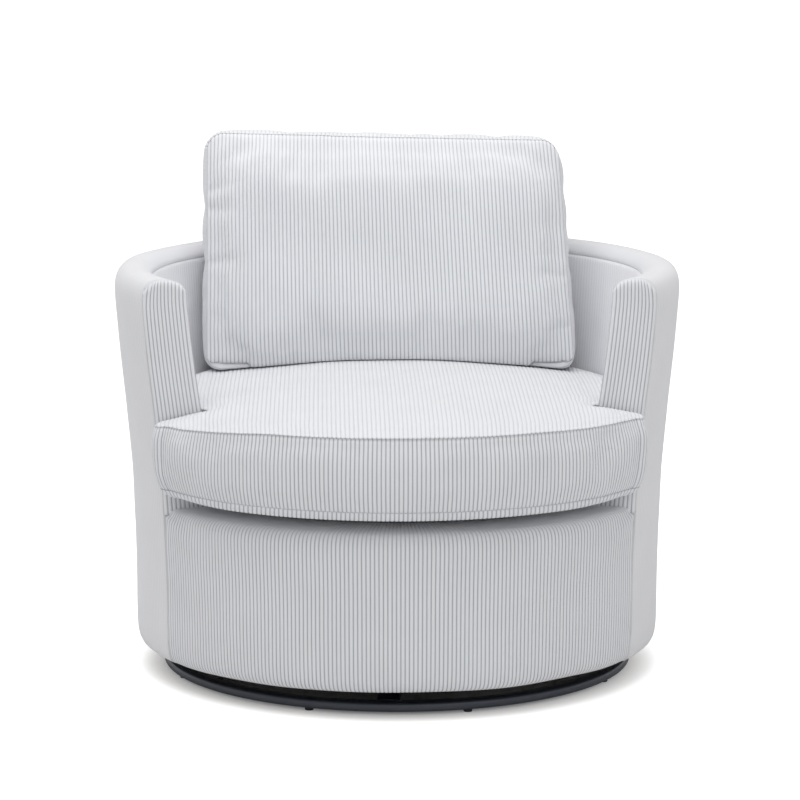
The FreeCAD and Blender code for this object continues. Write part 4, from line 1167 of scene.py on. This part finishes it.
back_columns = wale_columns(BACK_WALES)
across = back_columns / BACK_WALES
from_left = across * BACK_WIDTH
corner_drop = corner_rise(from_left) + corner_rise(BACK_WIDTH - from_left)
from_middle = np.abs(across - 0.5)
top_line = np.interp(across, [0, 0.5, 1], BACK_TOPS) - corner_drop - 2
foot_line = BACK_FOOT + corner_drop
gusset = np.clip((from_middle - 0.372) / 0.016, 0, 1) * np.clip((0.5 - from_middle) / 0.03, 0, 1)
front_foot = foot_line + GUSSET_LIFT * gusset
panel_rows = eased_rows(74, 0.35)


def back_plan_over(foot):
    """The plan of a back cushion panel whose foot follows the given line."""
    heights = foot[None, :] + panel_rows[:, None] * (top_line - foot)[None, :]
    climb = (heights - 400) / 350
    left_x = BACK_LEFT[0][0] + climb * (BACK_LEFT[1][0] - BACK_LEFT[0][0])
    right_x = BACK_RIGHT[0][0] + climb * (BACK_RIGHT[1][0] - BACK_RIGHT[0][0])
    return np.stack([left_x + across[None, :] * (right_x - left_x), heights], 2)


def ring_round(plan):
    """The edge of a panel's plan as a closed ring, without its repeated points."""
    ring = np.concatenate([plan[0], plan[1:, -1], plan[-1, -2::-1], plan[-2:0:-1, 0]])
    return ring[np.linalg.norm(np.roll(ring, -1, axis=0) - ring, axis=1) > 0.05]


back_panels = []
for facing, full, foot in ((-1, BACK_FRONT_FULL, front_foot), (1, BACK_REAR_FULL, foot_line)):
    plan = back_plan_over(foot)
    swell = full * edge_rise(from_left, 150) * edge_rise(BACK_WIDTH - from_left, 150)
    swell = swell * edge_rise(plan[..., 1] - foot, 110) * edge_rise(top_line - plan[..., 1], 150)
    distance, _ = from_outline(plan, ring_round(plan)[::3])
    seam_y = BACK_SEAM_Y if facing < 0 else BACK_SEAM_Y + BACK_BOXING
    points = np.stack([plan[..., 0], seam_y + facing * (swell - WALE_RELIEF), plan[..., 1]], 2)
    points[..., 1] += 2.2 * soft_noise(points, 100, 31 + facing) * edge_rise(distance, 90)
    for crease_x, crease_z, slope in BACK_CREASES:
        inward = np.abs(points[..., 0] - crease_x)
        off = points[..., 2] - crease_z - slope * inward
        points[..., 1] -= facing * 2.6 * np.exp(-inward / 26) * np.exp(-(off / 5) ** 2) * edge_rise(inward, 6)
    points[..., 1] -= facing * SEAM_DEPTH * 0.5 * np.exp(-(distance / 2.5) ** 2)
    normal = normals_of(points)
    normal *= np.sign(normal[..., 1:2] * facing + 1e-9)
    relief = WALE_RELIEF * wale_height(back_columns) * np.clip(distance / 3, 0.25, 1)
    back_panels.append((points + normal * relief[..., None], back_columns, plan[..., 1] / WALE_PITCH))

back_ring = ring_round(back_plan_over(foot_line))
columns, plan, outward = boxing_along(back_ring, 4)
rows = eased_rows(16, 0.5)
over = rows * BACK_BOXING
ribbed = np.clip((plan[:, 1] - 722) / 8, 0.1, 1)
lift = np.interp(plan[:, 0], back_plan_over(foot_line)[0, :, 0], front_foot - foot_line)
lift = np.where(plan[:, 1] < BACK_FOOT + BACK_CORNER, lift, 0)
reach = boxing_reach(columns, rows, BACK_BOXING, BACK_BULGE, ribbed[None, :])
moved = plan[None] + outward[None] * reach[..., None]
moved[..., 1] += lift[None, :] * (1 - edge_rise(over, 16))[:, None]
tucked = 0.35 * lift[None, :] * np.sin(np.clip(over / 22, 0, 1) * math.pi)[:, None]
points = np.stack([moved[..., 0], (BACK_SEAM_Y + over)[:, None] - tucked, moved[..., 1]], 2)
lengths = over[:, None] / WALE_PITCH
back_panels.append((points, np.where(ribbed < 0.5, lengths, columns), lengths))
back = sew_shut("back_cushion_cloth", back_panels, back_ring, (0, 2), 1)


def back_held(points):
    """Both seams and the foot of the back cushion stay where they are."""
    distance, _ = from_outline(points[:, [0, 2]], back_ring[::3])
    seam = np.minimum(np.abs(points[:, 1] - BACK_SEAM_Y), np.abs(points[:, 1] - BACK_SEAM_Y - BACK_BOXING))
    return ((distance < 12) & (seam < 6)) | (points[:, 2] < BACK_FOOT + 12)


def rest_on_seat(spots):
    """Lets the foot of the back cushion down on to the top of the seat cushion, flattened where it rests."""
    top = spots_of(seat)
    top = top[top[:, 2] > 375]
    tree = tree_of(top * [1, 1, 0])
    rest = np.zeros(len(spots))
    for number in np.nonzero(spots[:, 2] < 450)[0]:
        found = tree.find_n((spots[number, 0], spots[number, 1], 0), 4)
        rest[number] = max(top[index, 2] for _, index, _ in found) + 0.7
    under = np.clip((rest + 10 - spots[:, 2]) / 10, 0, None)
    spots[:, 2] = np.where(spots[:, 2] < rest + 10, rest + 10 - 10 * np.tanh(under), spots[:, 2])
    return spots


stuff(back, back_held, BACK_SWELL_LIMIT)
spots = keep_in_tub(lean_back(spots_of(back)), 1.5)
spots[:, 2] = np.minimum(spots[:, 2], BACK_HEAD)
put_spots(back, rest_on_seat(spots))
# A lighter copy of the ribbed corduroy, its grooves lighter too: painted light on the back cushion.
back_corduroy = corduroy_named(
    "polyester corduroy, pale grey, ribbed, pile brushed up", "#e5e6e9", "#b8bac0", 0
)
settle(back, "back_cushion_cloth", back_corduroy, "back_cushion", ["back_cushion_cover"])
back_fibre = soft_copy("back_cushion_filling", "back_fibre_filling")
settle(back_fibre, "back_fibre_filling", foam, "back_cushion", ["back_cushion_filling"])


# Room for the pictures: a white floor that keeps the chair's soft shadow, two
# large soft lamps and the photograph's own viewing angle.
GLOW_START = 0.3
GLOW_FULL = 0.4
CAMERA_TURN = math.radians(-1.25)
CAMERA_DIP = 0.1653
CAMERA_DISTANCE = 4.9
CAMERA_HEIGHT = 1.1945

bpy.ops.object.select_all(action="DESELECT")
bpy.ops.mesh.primitive_plane_add(size=40, location=(0, 0, 0))
floor = bpy.context.object
floor.name = "studio_floor"
# Matt white paint. Beyond the chair it glows for the camera, so that the background is white. Within 0.3 m of
# the swivel axis it does not glow and between 0.3 m and 0.4 m the glow fades in, so round the base the floor
# shows its real shadow with a painted shadow edge round it.
floor_paint, shader = finish_named("matt white studio floor", {
    "Base Color": linear("#e8e8e8"), "Roughness": 0.9, "Emission Color": (1, 1, 1, 1),
})
seen = add_node(floor_paint, "LightPath")
place = add_node(floor_paint, "TexCoord")
reach = add_node(floor_paint, "VectorMath", {"operation": "LENGTH"}, {0: (place, "Object")})
clear = add_node(floor_paint, "MapRange", {
    "From Min": GLOW_START, "From Max": GLOW_FULL, "To Max": 0.8,
}, {"Value": (reach, "Value")})
glow = product(floor_paint, (clear, "Result"), (seen, "Is Camera Ray"))
join_to(floor_paint, shader, {"Emission Strength": (glow, 0)})
floor.data.materials.append(floor_paint)

world = bpy.data.worlds.new("white studio")
bpy.context.scene.world = world
world.use_nodes = True
room = world.node_tree.nodes["Background"]
room.inputs["Color"].default_value = (1, 1, 1, 1)
seen = add_node(world, "LightPath")
level = add_node(world, "MapRange", {"To Min": 0.62, "To Max": 1}, {"Value": (seen, "Is Camera Ray")})
join_to(world, room, {"Strength": (level, "Result")})

for name, spot, aim, width, power in (
    ("overhead soft box", (-0.4, -0.7, 3.2), (0, 0, 0.4), 2.6, 54),
    ("front soft box", (1.6, -3.0, 1.8), (0, 0, 0.35), 2.0, 11),
):
    lamp = bpy.data.lights.new(name, "AREA")
    lamp.size = width
    lamp.energy = power
    light = placed(name, lamp)
    light.location = spot
    x, y, z = np.array(aim) - np.array(spot)
    light.rotation_euler = (math.atan2(math.hypot(x, y), -z), 0, math.atan2(y, x) - math.pi / 2)

camera = bpy.data.cameras.new("photograph view")
camera.sensor_width = 36
camera.lens = 156.58
camera.shift_x = 0.003875
viewer = placed("photograph view", camera)
viewer.location = (
    CAMERA_DISTANCE * math.sin(CAMERA_TURN), -CAMERA_DISTANCE * math.cos(CAMERA_TURN), CAMERA_HEIGHT
)
viewer.rotation_euler = (math.pi / 2 - CAMERA_DIP, 0, CAMERA_TURN)
bpy.context.scene.camera = viewer
bpy.context.scene.view_settings.view_transform = "Standard"
